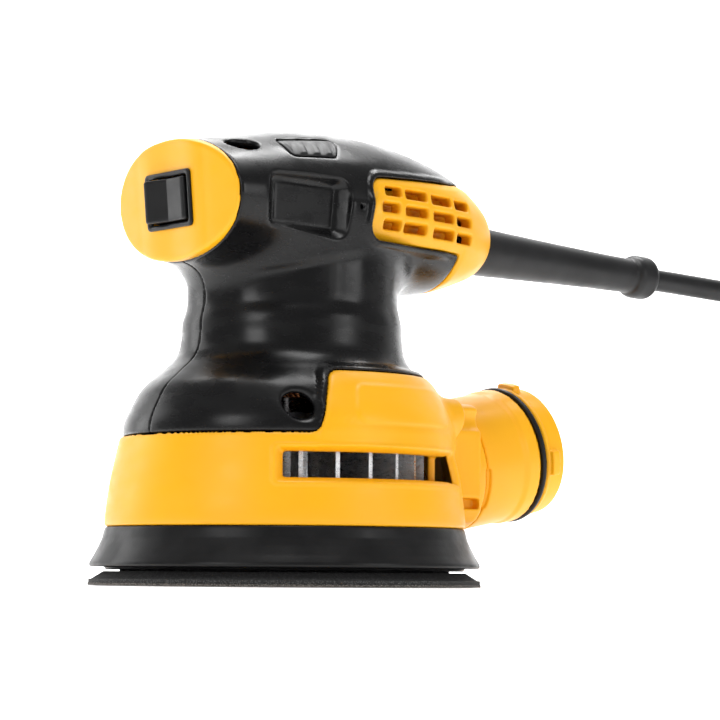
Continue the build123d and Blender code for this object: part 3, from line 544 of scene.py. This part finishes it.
# ---------------------------------------------------------------- front cap
def cap_piece():
    """Oval cover: flat across the middle, its sides curving back to the rim."""
    g = Grid((-36, -50.5, 98), (36, -38.5, 142), MEDIUM)
    w, v = front_distance(g), front_height(g)
    rim = ellipse(g.x, v, FRONT_WIDE, FRONT_HIGH)
    across = np.abs(g.x[:, 0, 0])
    places = (0, 16.6, 17.4, 22, 27, 31, 36)
    top = curve_through(places, (3.2, 3.2, 3.05, 2.5, 1.75, 1.1, 0.3), across)
    face = w - top[:, None, None]
    field = smooth_max(rim, face, 1.6)
    field = smooth_max(field, 0.12 - w, 0.4)
    window = rounded_box(g.x, v, 11.2, 7.7, 1.0)
    field = cut(field, window, 0.5)
    collar = both(rim + 3.4, -(rim + 5.2), -w - 5.0, w - 0.4, soft=0.4)
    field = smooth_min(field, collar, 0.3)
    piece = solid("front_cap_shell", g, field)
    return settle(piece, "root", "yellow_plastic", "front_cap")


cap_piece()


# ---------------------------------------------------------------- rear cover
ROW_PITCH, ROW_FALL = 5.3, 0.028        # the rows of slots drop a little to the rear


def cover_piece():
    """Vented cover with three rows of slots in each tongue."""
    g = Grid((-33, 4, 94), (33, 81.2, 142), MEDIUM)
    head = head_field(g)
    near = cover_distance(g)
    x = np.abs(g.x)
    proud = 0.35 * ramp(-near, 0.6, 2.2)
    outer = head - proud * ramp(x, 8, 14)
    shell = both(outer, near + 0 * g.x, soft=0.7)
    grille = ramp(-outline(g.y, g.z, [(12, 128), (60, 128), (60, 111), (11, 111)]), 0, 2.0)
    shell = cut(shell, head + HOUSING_WALL + 2.2 * grille, 0.5)
    for row in range(3):
        for column in range(4):
            y = (18.0, 28.6, 41.3, 52.6)[column]
            half = (3.7, 5.2, 5.3, 4.1)[column]
            y = y - 1.3 * (row == 1) * (column == 0) + 0.7 * row * (column > 1)
            z = 125.2 - ROW_PITCH * row - ROW_FALL * (y - 14)
            slot = rounded_box(g.y - y, g.z - z, half, 1.45, 0.8)
            mouth = slot - 0.3 * ramp(head, -0.9, 0.2)
            shell = cut(shell, smooth_max(mouth, 10 - x, 0.5), 0.45)
    # Ribs between the rows run in to a backing, so nothing shows through the slots.
    inset = both(near + 2.6, head + 2.0, 12 - x, -(head + 9.0), 9.5 - g.y, g.y - 58.5, soft=0.3)
    rib = np.abs((g.z - 127.9 + ROW_FALL * (g.y - 14)) / ROW_PITCH)
    rib = np.abs(rib - np.round(rib)) * ROW_PITCH - 0.7
    rib = both(rib + 0 * g.x, inset, soft=0.2)
    backing = both(inset, head + 7.6, soft=0.2)
    shell = np.minimum(shell, np.minimum(rib, backing))
    exit_hole = np.hypot(g.x, g.z - 113.3) - 8.6
    shell = cut(shell, smooth_max(exit_hole, 60 - g.y, 0.5), 0.8)
    piece = solid("rear_cover_shell", g, shell)
    return settle(piece, "root", "yellow_plastic", "rear_cover")


cover_piece()


# ---------------------------------------------------------------- shroud
PORT_Y, PORT_Z, PORT_TILT = 90.0, 44.6, radians(10.5)
PORT_RADIUS, AIR_RADIUS, TIP_BORE = 22.0, 18.6, 16.6
SEAM_ALONG = -24.2
FOOT_Z = 18.4
SHROUD_WALL = 2.4
SLOT_Z, SLOT_HALF_HEIGHT, SLOT_HALF_TURN = 37.0, 4.0, 37.0
SHROUD_SCREW_X, SHROUD_SCREW_Z = 28.0, 54.5
BELL_SEAT = 0.25


def port_axes(g):
    """Distance along the port's axis from its seal, and distance from the axis."""
    along = cos(PORT_TILT) * (g.y - PORT_Y) + sin(PORT_TILT) * (g.z - PORT_Z)
    up = cos(PORT_TILT) * (g.z - PORT_Z) - sin(PORT_TILT) * (g.y - PORT_Y)
    return along, np.hypot(g.x, up), up


def seam_field(along, off_axis, up):
    """Slot at each side where the sleeve meets the shroud."""
    away = np.abs(along - SEAM_ALONG) - 1.0
    return both(away, 20.9 - off_axis, np.abs(up + 8.0) - 6.5, soft=0.6)


def shroud_piece():
    """Lower band with the exhaust slots, the apron over the bell, and the outlet's root."""
    g = Grid((-59.0, -59.0, 17.6), (59.0, 71.0, 68.0), COARSE)
    radius = np.hypot(g.x, g.y)
    heights = (17.0, 18.4, 21.0, 27.5, 33.0, 41.0, 46.8, 52.5)
    widths = (57.5, 57.5, 57.5, 56.8, 56.0, 54.3, 53.1, 53.1)
    z = g.z[0, 0, :]
    wall = curve_through(heights, widths, z)[None, None, :]
    ring = smooth_max(radius - wall, FOOT_Z - g.z, 1.2)
    ring = smooth_max(ring, g.z - 47.0, 1.4)
    along, off_axis, up = port_axes(g)
    root = smooth_max(off_axis - PORT_RADIUS, along + 24.4, 0.8)
    root = smooth_max(root, 30.0 - g.y, 1.0)
    root = smooth_max(root, FOOT_Z - g.z, 0.8)
    # Flat-topped box that carries the outlet's root.
    box = rounded_box(g.x, g.z - 40.0, 27.0, 19.5, 6.0)
    box = smooth_max(box, g.y - 59.5, 1.6)
    box = smooth_max(box, 34.0 - g.y, 1.0)
    box = smooth_max(box, FOOT_Z - g.z, 0.8)
    outer = smooth_min(smooth_min(ring, box, 2.0), root, 3.0)
    # Apron that lies over the rear of the bell.
    bell = bell_field(g)
    apron_side = apron_distance(g)
    panel = outline(g.y, g.z, [(-12.5, 49.5), (-8.5, 62.6), (33.0, 62.6), (33.0, 49.5)], 4.0)
    raised = 1.55 + 0.45 * ramp(-panel, 0.0, 0.9)
    apron = both(bell - raised, apron_side + 0 * g.x, 44.0 - g.z, soft=0.9)
    outer = smooth_min(outer, apron, 3.0)
    # Hollow for the fan and the air way to the outlet.
    hollow = both(radius - (wall - SHROUD_WALL), g.z - 44.6, soft=0.8)
    air = both(off_axis - AIR_RADIUS, along + 30, 20.0 - g.z, 20 - g.y, soft=0.8)
    hollow = smooth_min(hollow, air, 1.0)
    # Ducts run from the fan out to the slots.
    turn = np.abs(np.degrees(np.arctan2(g.y, np.abs(g.x)))) + 0 * g.z
    arc = (turn - SLOT_HALF_TURN) * np.minimum(radius, 60) * pi / 180
    tall = np.abs(g.z - SLOT_Z) - SLOT_HALF_HEIGHT
    duct = both(arc - 1.6, tall - 1.6, 46.5 - radius, soft=0.5)
    hollow = cut(hollow, duct, 0.4)
    shell = cut(outer, hollow, 0.5)
    mouth = 1.5 * ramp(radius - wall, -3.0, 0.2)
    rearward = 5.0 * ramp(radius, 45.5, 57.0) * (g.y > 0)
    slot = smooth_max(arc - mouth - rearward, tall - mouth * 0.75, 0.8)
    slot = smooth_max(slot, 44.0 - radius, 0.4)
    shell = cut(shell, slot, 0.9)
    # Low raised border round each slot.
    border = both(arc - 3.6, tall - 2.6, soft=2.0)
    raise_by = 0.45 * ramp(-border, 0.0, 0.6) * ramp(slot, 0.2, 0.8) * (np.abs(g.y) < 44)
    shell = np.where(np.abs(radius - wall) < 2.5, shell - raise_by, shell)
    # Bell seat.
    seat = smooth_min(bell - BELL_SEAT, both(radius - 50.5, g.z - 48.0), 0.3)
    seat = smooth_max(seat, 42.4 - g.z, 0.4)
    shell = cut(shell, seat, 0.4)
    # Screw seats beside the outlet, and the little drain slots low on the box.
    screw_off = np.hypot(np.abs(g.x) - SHROUD_SCREW_X, g.z - SHROUD_SCREW_Z)
    boss = both(screw_off - 6.2, g.y - 46.5, 36 - g.y, BELL_SEAT - bell, soft=1.0)
    shell = smooth_min(shell, boss, 2.5)
    shell = cut(shell, smooth_max(screw_off - 3.95, 43.7 - g.y, 0.3), 0.9)
    shell = cut(shell, smooth_max(screw_off - 2.2, 30.0 - g.y, 0.3), 0.4)
    drain = rounded_box(g.y - 53.5, g.z - 27.0, 5.2, 1.7, 1.2)
    shell = cut(shell, smooth_max(drain + 0 * g.x, 23.0 - np.abs(g.x), 0.5), 0.7)
    shell = cut(shell, seam_field(along, off_axis, up), 0.5)
    piece = solid("shroud_shell", g, shell)
    return settle(piece, "root", "yellow_plastic", "shroud")


shroud_piece()


def port_piece():
    """Outlet: sleeve, raised lip, groove for the seal, and an end with bayonet lugs."""
    g = Grid((-26.5, 60.0, 17.6), (26.5, 104.5, 74.5), MEDIUM)
    along, off_axis, up = port_axes(g)
    places = (-40, -8.5, -6.5, -1.9, -1.3, 1.3, 1.9, 2.9, 3.5, 12)
    widths = (PORT_RADIUS, PORT_RADIUS, 22.6, 22.6, 21.2, 21.2, 22.5, 22.4, 21.7, 21.5)
    sleeve = off_axis - np.interp(along, places, widths)
    sleeve = both(sleeve, along - 10.0, -24.3 - along, soft=0.9)
    angle = np.degrees(np.arctan2(up, g.x))
    for place in (80, -10, -160):
        apart = np.abs((angle - place + 180) % 360 - 180) * off_axis * pi / 180
        lug = both(apart - 4.2, off_axis - 24.0, 20.0 - off_axis, soft=0.6)
        lug = both(lug, along - 6.1, 2.8 - along, soft=0.6)
        sleeve = smooth_min(sleeve, lug, 0.5)
    inner = both(off_axis - 18.4, -30.3 - along, along + 23.9, soft=0.4)
    sleeve = smooth_min(sleeve, inner, 0.3)
    rib = both(np.abs(g.x) + 0 * along - 0.7, off_axis - 17.5, np.abs(along + 12) - 9, soft=0.5)
    sleeve = cut(sleeve, off_axis - TIP_BORE - 0.5 * ramp(along, 8.6, 10.0), 0.5)
    sleeve = smooth_min(sleeve, both(rib, 14.0 - off_axis, soft=0.4), 0.6)
    sleeve = cut(sleeve, seam_field(along, off_axis, up), 0.5)
    sleeve = smooth_max(sleeve, 18.5 - g.z, 0.6)
    piece = solid("dust_port_shell", g, sleeve)
    return settle(piece, "root", "yellow_plastic", "dust_port")


port_piece()


# ---------------------------------------------------------------- turned pieces
def lathe(name, profile, steps=144, tilt=None):
    """Closed surface of revolution from (radius, height) points, smooth shaded."""
    verts, faces = [], []
    count = len(profile)
    for i in range(steps):
        angle = 2 * pi * i / steps
        for radius, z in profile:
            place = Vector((radius * cos(angle), radius * sin(angle), z))
            if tilt:
                place = tilt @ place
            verts.append(tuple(place * MM))
    for i in range(steps):
        a, b = i * count, (i + 1) % steps * count
        for j in range(count):
            k = (j + 1) % count
            faces.append((a + j, b + j, b + k, a + k))
    mesh = bpy.data.meshes.new(name)
    mesh.from_pydata(verts, [], faces)
    mesh.shade_smooth()
    piece = bpy.data.objects.new(name, mesh)
    bpy.context.scene.collection.objects.link(piece)
    return piece


def softened(corners, reach=0.5, steps=3):
    """A closed profile with each corner rounded by a short curve."""
    points = []
    count = len(corners)
    for i in range(count):
        before, here, after = (Vector(corners[(i + d) % count]) for d in (-1, 0, 1))
        into, out = here - before, after - here
        a = here - into.normalized() * min(reach, into.length * 0.45)
        b = here + out.normalized() * min(reach, out.length * 0.45)
        for step in range(steps + 1):
            t = step / steps
            points.append(tuple(a * (1 - t) ** 2 + here * 2 * t * (1 - t) + b * t * t))
    return points


def skirt_piece():
    """Rubber skirt that flares out over the pad."""
    corners = [(57.3, 18.35), (57.7, 17.0), (58.3, 14.7), (59.3, 12.4), (60.8, 9.5), (62.2, 7.2),
               (62.3, 6.3), (61.9, 5.8), (57.4, 5.8), (57.1, 4.9), (55.0, 4.9), (55.0, 22.9),
               (54.9, 22.9), (54.85, 18.35)]
    piece = lathe("skirt_ring", softened(corners, 0.45))
    return settle(piece, "root", "black_rubber", "skirt")


skirt_piece()


def guard_piece():
    """Tapered sleeve round the cord, with a collar at its tip."""
    start = Vector((0, 74.0, 113.5))
    along = (Vector((0, 158.5, 109.4)) - start).normalized()
    turn = along.to_track_quat("Z", "Y").to_matrix().to_4x4()
    corners = [(7.9, -6.0), (7.9, -1.0), (8.3, 0.5), (8.15, 8.0), (7.3, 30.0), (6.4, 56.0),
               (6.0, 74.8), (7.0, 75.6), (7.6, 77.2), (7.6, 82.6), (6.8, 84.2), (5.0, 84.4),
               (4.2, 83.2), (3.9, 80.0), (3.9, -6.0)]
    tilt = Matrix.Translation(start) @ turn
    piece = lathe("cord_guard_sleeve", softened(corners, 1.0, 4), steps=96, tilt=tilt)
    return settle(piece, "root", "cord_rubber", "cord_guard")


guard_piece()


def seal_piece():
    """O-ring in the groove of the outlet."""
    sides, middle, section = 14, 22.05, 1.0
    angles = [2 * pi * i / sides for i in range(sides)]
    profile = [(middle + section * cos(angle), section * sin(angle)) for angle in angles]
    place = Matrix.Translation((0, PORT_Y, PORT_Z)) @ Matrix.Rotation(PORT_TILT - pi / 2, 4, "X")
    piece = lathe("outlet_seal", profile, steps=128, tilt=place)
    return settle(piece, "root", "black_rubber", "port_seal")


seal_piece()


# ---------------------------------------------------------------- switch
def switch_grid():
    """Sample points round the switch, how far each is ahead of the cap's plane, and up it."""
    g = Grid((-13.4, FRONT_Y - 10.5, 108.5), (13.4, FRONT_Y + 3.0, 132.0), FINEST)
    return g, front_distance(g), front_height(g)


def bezel_piece():
    """Frame that stands out of the cap round the switch."""
    g, w, v = switch_grid()
    outer = rounded_box(g.x, v, 12.5, 9.0, 1.6)
    frame_form = both(outer, w - 4.6, 3.35 - w, soft=0.8)
    neck = both(rounded_box(g.x, v, 10.8, 7.3, 1.0), w - 3.5, -1.8 - w, soft=0.4)
    form = smooth_min(frame_form, neck, 0.3)
    hole = rounded_box(g.x, v, 10.45, 7.25, 0.8)
    form = cut(form, hole - 0.6 * ramp(w, 4.0, 4.7), 0.5)
    piece = solid("switch_frame", g, form)
    return settle(piece, "root", "switch_plastic", "switch_bezel")


bezel_piece()


def rocker_piece():
    """Rocker with a shallow valley, tipped to one side at rest."""
    g, w, v = switch_grid()
    turn = radians(7.0)
    depth = w - 1.7
    u = cos(turn) * g.x - sin(turn) * depth
    d = sin(turn) * g.x + cos(turn) * depth
    half = 10.0 - 0.1 * np.clip(d, 0, 4)
    top = 3.2 + 1.4 * np.minimum(np.abs(u) / 8.0, 1.0)
    sides = smooth_max(np.abs(u) - half, np.abs(v) - 6.75, 0.9)
    form = both(sides, d - top, -1.1 - d, soft=0.7)
    piece = solid("switch_paddle", g, form)
    return settle(piece, "rocker", "switch_plastic", "switch_rocker")


rocker_piece()


# ---------------------------------------------------------------- materials
class Nodes:
    """Short calls for a material's node tree."""

    def __init__(self, name):
        self.material = bpy.data.materials.new(name)
        self.material.use_nodes = True
        self.tree = self.material.node_tree
        self.shader = self.tree.nodes["Principled BSDF"]
        self.place = self.add("ShaderNodeTexCoord").outputs["Object"]

    def add(self, kind, **values):
        node = self.tree.nodes.new(kind)
        for key, value in values.items():
            setattr(node, key, value)
        return node

    def link(self, start, end):
        self.tree.links.new(start, end)

    def noise(self, scale, detail=2.0, stretch=None):
        node = self.add("ShaderNodeTexNoise")
        node.inputs["Scale"].default_value = scale
        node.inputs["Detail"].default_value = detail
        start = self.place
        if stretch:
            mapping = self.add("ShaderNodeMapping")
            mapping.inputs["Scale"].default_value = stretch
            self.link(self.place, mapping.inputs["Vector"])
            start = mapping.outputs["Vector"]
        self.link(start, node.inputs["Vector"])
        return node.outputs["Fac"]

    def spread(self, value, low, high, start=0.35, end=0.65):
        node = self.add("ShaderNodeMapRange")
        limits = {"From Min": start, "From Max": end, "To Min": low, "To Max": high}
        for key, number in limits.items():
            node.inputs[key].default_value = number
        self.link(value, node.inputs["Value"])
        return node.outputs["Result"]

    def colours(self, value, dark, light, start=0.3, end=0.7):
        node = self.add("ShaderNodeValToRGB")
        node.color_ramp.elements[0].position = start
        node.color_ramp.elements[1].position = end
        node.color_ramp.elements[0].color = (*dark, 1)
        node.color_ramp.elements[1].color = (*light, 1)
        self.link(value, node.inputs["Fac"])
        return node.outputs["Color"]

    def bump(self, value, strength, distance, after=None):
        node = self.add("ShaderNodeBump")
        node.inputs["Strength"].default_value = strength
        node.inputs["Distance"].default_value = distance
        self.link(value, node.inputs["Height"])
        if after:
            self.link(after, node.inputs["Normal"])
        self.link(node.outputs["Normal"], self.shader.inputs["Normal"])
        return node.outputs["Normal"]

    def finish(self, colour, roughness, **constants):
        self.link(colour, self.shader.inputs["Base Color"])
        self.link(roughness, self.shader.inputs["Roughness"])
        for key, value in constants.items():
            self.shader.inputs[key.replace("_", " ")].default_value = value
        return self.material


def shade(colour, factor):
    return tuple(min(1.0, c * factor) for c in colour)


def moulded(name, colour, rough, grain=0.03, grain_scale=2600.0, vary=0.06, specular=0.5):
    """Moulded plastic: fine spark-eroded grain, faint flow marks, light handling wear."""
    n = Nodes(name)
    clouds = n.noise(38.0, 4.0)
    colour_out = n.colours(clouds, shade(colour, 1 - vary), shade(colour, 1 + vary))
    smudges = n.noise(95.0, 5.0, (1.0, 1.0, 2.2))
    rough_out = n.spread(smudges, rough - 0.05, rough + 0.06)
    fine = n.bump(n.noise(grain_scale, 2.0), grain, 0.0002)
    n.bump(n.noise(320.0, 3.0), 0.015, 0.0006, fine)
    return n.finish(colour_out, rough_out, Specular_IOR_Level=specular)


def rubber(name, colour, rough, grain=0.12, scale=1500.0, specular=0.32):
    """Matte rubber with a fine tooth and dusty patches."""
    n = Nodes(name)
    dust = n.noise(60.0, 6.0)
    colour_out = n.colours(dust, colour, shade(colour, 1.9), 0.35, 0.8)
    rough_out = n.spread(n.noise(140.0, 4.0), rough - 0.06, rough + 0.08)
    n.bump(n.noise(scale, 3.0), grain, 0.0002)
    return n.finish(colour_out, rough_out, Specular_IOR_Level=specular)


def metal(name, colour, rough, stretch=(1.0, 1.0, 14.0), scale=420.0, vary=0.12):
    """Machined metal with fine tool marks."""
    n = Nodes(name)
    marks = n.noise(scale, 4.0, stretch)
    colour_out = n.colours(marks, shade(colour, 1 - vary), shade(colour, 1 + vary))
    rough_out = n.spread(marks, rough - 0.07, rough + 0.1)
    n.bump(marks, 0.08, 0.0001)
    return n.finish(colour_out, rough_out, Metallic=1.0)


def speckled(name, dark, light, scale, rough, grain):
    """Grit, foam cells or fabric hooks: small light specks on a darker ground."""
    n = Nodes(name)
    cells = n.add("ShaderNodeTexVoronoi")
    cells.inputs["Scale"].default_value = scale
    n.link(n.place, cells.inputs["Vector"])
    distance = cells.outputs["Distance"]
    colour_out = n.colours(distance, light, dark, 0.1, 0.55)
    rough_out = n.spread(n.noise(scale * 0.3, 3.0), rough - 0.05, min(1.0, rough + 0.08))
    n.bump(distance, grain, 0.0003)
    return n.finish(colour_out, rough_out)


def laminated(name):
    """Stack of thin steel sheets, edge on."""
    n = Nodes(name)
    wave = n.add("ShaderNodeTexWave", bands_direction="Z")
    wave.inputs["Scale"].default_value = 320.0
    wave.inputs["Distortion"].default_value = 0.3
    n.link(n.place, wave.inputs["Vector"])
    colour_out = n.colours(wave.outputs["Fac"], (0.1, 0.1, 0.11), (0.32, 0.32, 0.33))
    rough_out = n.spread(n.noise(300.0), 0.35, 0.5)
    n.bump(wave.outputs["Fac"], 0.3, 0.0002)
    return n.finish(colour_out, rough_out, Metallic=0.9)


def wound(name):
    """Enamelled copper wire wound side by side."""
    n = Nodes(name)
    wave = n.add("ShaderNodeTexWave", bands_direction="DIAGONAL")
    wave.inputs["Scale"].default_value = 260.0
    wave.inputs["Distortion"].default_value = 1.2
    n.link(n.place, wave.inputs["Vector"])
    colour_out = n.colours(wave.outputs["Fac"], (0.22, 0.07, 0.025), (0.6, 0.24, 0.09))
    rough_out = n.spread(n.noise(200.0), 0.25, 0.42)
    n.bump(wave.outputs["Fac"], 0.5, 0.0003)
    return n.finish(colour_out, rough_out, Metallic=0.85)


YELLOW = (0.93, 0.44, 0.006)
BLACK = (0.004, 0.004, 0.0043)
SWITCH_BLACK = (0.006, 0.006, 0.0064)
HOOKS = (0.02, 0.02, 0.02), (0.09, 0.09, 0.09)
GRIT = (0.05, 0.045, 0.04), (0.3, 0.27, 0.24)
MATERIALS = {
    "yellow_plastic": moulded("yellow_plastic", YELLOW, 0.4, 0.02, 2200.0, 0.03, 0.35),
    "black_plastic": moulded("black_plastic", BLACK, 0.27, 0.03, 2400.0, 0.15, 0.3),
    "black_rubber": rubber("black_rubber", (0.005, 0.005, 0.0053), 0.36, specular=0.25),
    "grip_rubber": rubber("grip_rubber", (0.012, 0.012, 0.0125), 0.4, 0.08),
    "switch_plastic": moulded("switch_plastic", SWITCH_BLACK, 0.32, 0.02, 2600.0, 0.1, 0.3),
    "foam": speckled("foam", (0.012, 0.012, 0.012), (0.035, 0.035, 0.035), 1400.0, 0.8, 0.5),
    "hook_fabric": speckled("hook_fabric", *HOOKS, 1900.0, 0.9, 0.8),
    "abrasive": speckled("abrasive", *GRIT, 2600.0, 0.85, 0.9),
    "pad_plastic": moulded("pad_plastic", (0.02, 0.02, 0.021), 0.45, 0.05, 2000.0),
    "steel": metal("steel", (0.6, 0.6, 0.61), 0.28),
    "screw_steel": metal("screw_steel", (0.12, 0.12, 0.125), 0.34, (1, 1, 1), 700.0),
    "cast_metal": metal("cast_metal", (0.42, 0.43, 0.45), 0.5, (1, 1, 1), 900.0),
    "fan_metal": metal("fan_metal", (0.78, 0.79, 0.8), 0.3, (1, 1, 5), 500.0, 0.06),
    "laminations": laminated("laminations"),
    "copper": wound("copper"),
    "brass": metal("brass", (0.78, 0.56, 0.24), 0.26, (9, 9, 1), 380.0),
    "carbon": speckled("carbon", (0.015, 0.015, 0.016), (0.05, 0.05, 0.05), 2400.0, 0.6, 0.3),
    "cord_rubber": rubber("cord_rubber", (0.008, 0.008, 0.0085), 0.4, 0.05, 900.0),
    "tie_strap": rubber("tie_strap", (0.03, 0.03, 0.031), 0.6, 0.4, 1600.0),
}
slots = {part["node"]: part["material_slot"] for part in frame["record"]["subparts"]}
for name, node in nodes.items():
    node.data.materials.clear()
    node.data.materials.append(MATERIALS[slots[name]])
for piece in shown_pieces():
    if piece.name not in nodes:
        piece.data.materials.clear()
        piece.data.materials.append(MATERIALS[piece["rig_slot"]])


# ---------------------------------------------------------------- floor and light
def add_floor():
    """Pale sweep: a floor that curves up behind the tool."""
    profile = [(-3.0, 0.0), (1.6, 0.0)]
    for angle in range(10, 91, 10):
        profile.append((1.6 + 0.8 * sin(radians(angle)), 0.8 - 0.8 * cos(radians(angle))))
    profile.append((2.4, 3.0))
    away = Vector((-sin(VIEW_HEADING), cos(VIEW_HEADING), 0))
    side = Vector((away.y, -away.x, 0))
    verts, faces = [], []
    for reach, z in profile:
        for across in (-4.0, 4.0):
            place = away * reach + side * across
            verts.append((place.x, place.y, z - 0.0002))
    for i in range(len(profile) - 1):
        faces.append((2 * i, 2 * i + 1, 2 * i + 3, 2 * i + 2))
    mesh = bpy.data.meshes.new("floor")
    mesh.from_pydata(verts, [], faces)
    mesh.shade_smooth()
    floor = bpy.data.objects.new("floor", mesh)
    bpy.context.scene.collection.objects.link(floor)
    n = Nodes("floor")
    tone = n.colours(n.noise(3.0, 2.0), (0.93, 0.93, 0.93), (0.96, 0.96, 0.96))
    white = n.finish(tone, n.spread(n.noise(5.0), 0.75, 0.85), Emission_Strength=0.3)
    n.shader.inputs["Emission Color"].default_value = (1, 1, 1, 1)
    mesh.materials.append(white)


def add_light(name, place, aim, width, height, power):
    """Soft box."""
    data = bpy.data.lights.new(name, "AREA")
    data.shape = "RECTANGLE"
    data.size, data.size_y = width, height
    data.energy = power
    lamp = bpy.data.objects.new(name, data)
    lamp.location = place
    lamp.rotation_euler = (Vector(aim) - Vector(place)).to_track_quat("-Z", "Y").to_euler()
    bpy.context.scene.collection.objects.link(lamp)


add_floor()
add_light("overhead", (0.0, -0.05, 0.95), (0, 0.02, 0.1), 0.7, 0.4, 6.0)
add_light("left_box", (-0.95, -0.5, 0.35), (0, 0, 0.08), 0.4, 0.6, 2.0)
add_light("front_box", (0.3, -1.05, 0.45), (0, 0, 0.08), 0.35, 0.45, 2.3)
add_light("right_box", (1.05, 0.4, 0.35), (0, 0.03, 0.08), 0.35, 0.5, 1.9)
add_light("backdrop_light", (-0.7, 0.5, 1.5), (-1.6, 1.25, 0.2), 1.5, 1.0, 70.0)
world = bpy.data.worlds.new("studio")
bpy.context.scene.world = world
world.use_nodes = True
world.node_tree.nodes["Background"].inputs["Color"].default_value = (1, 1, 1, 1)
world.node_tree.nodes["Background"].inputs["Strength"].default_value = 0.3
bpy.context.scene.view_settings.view_transform = "Standard"
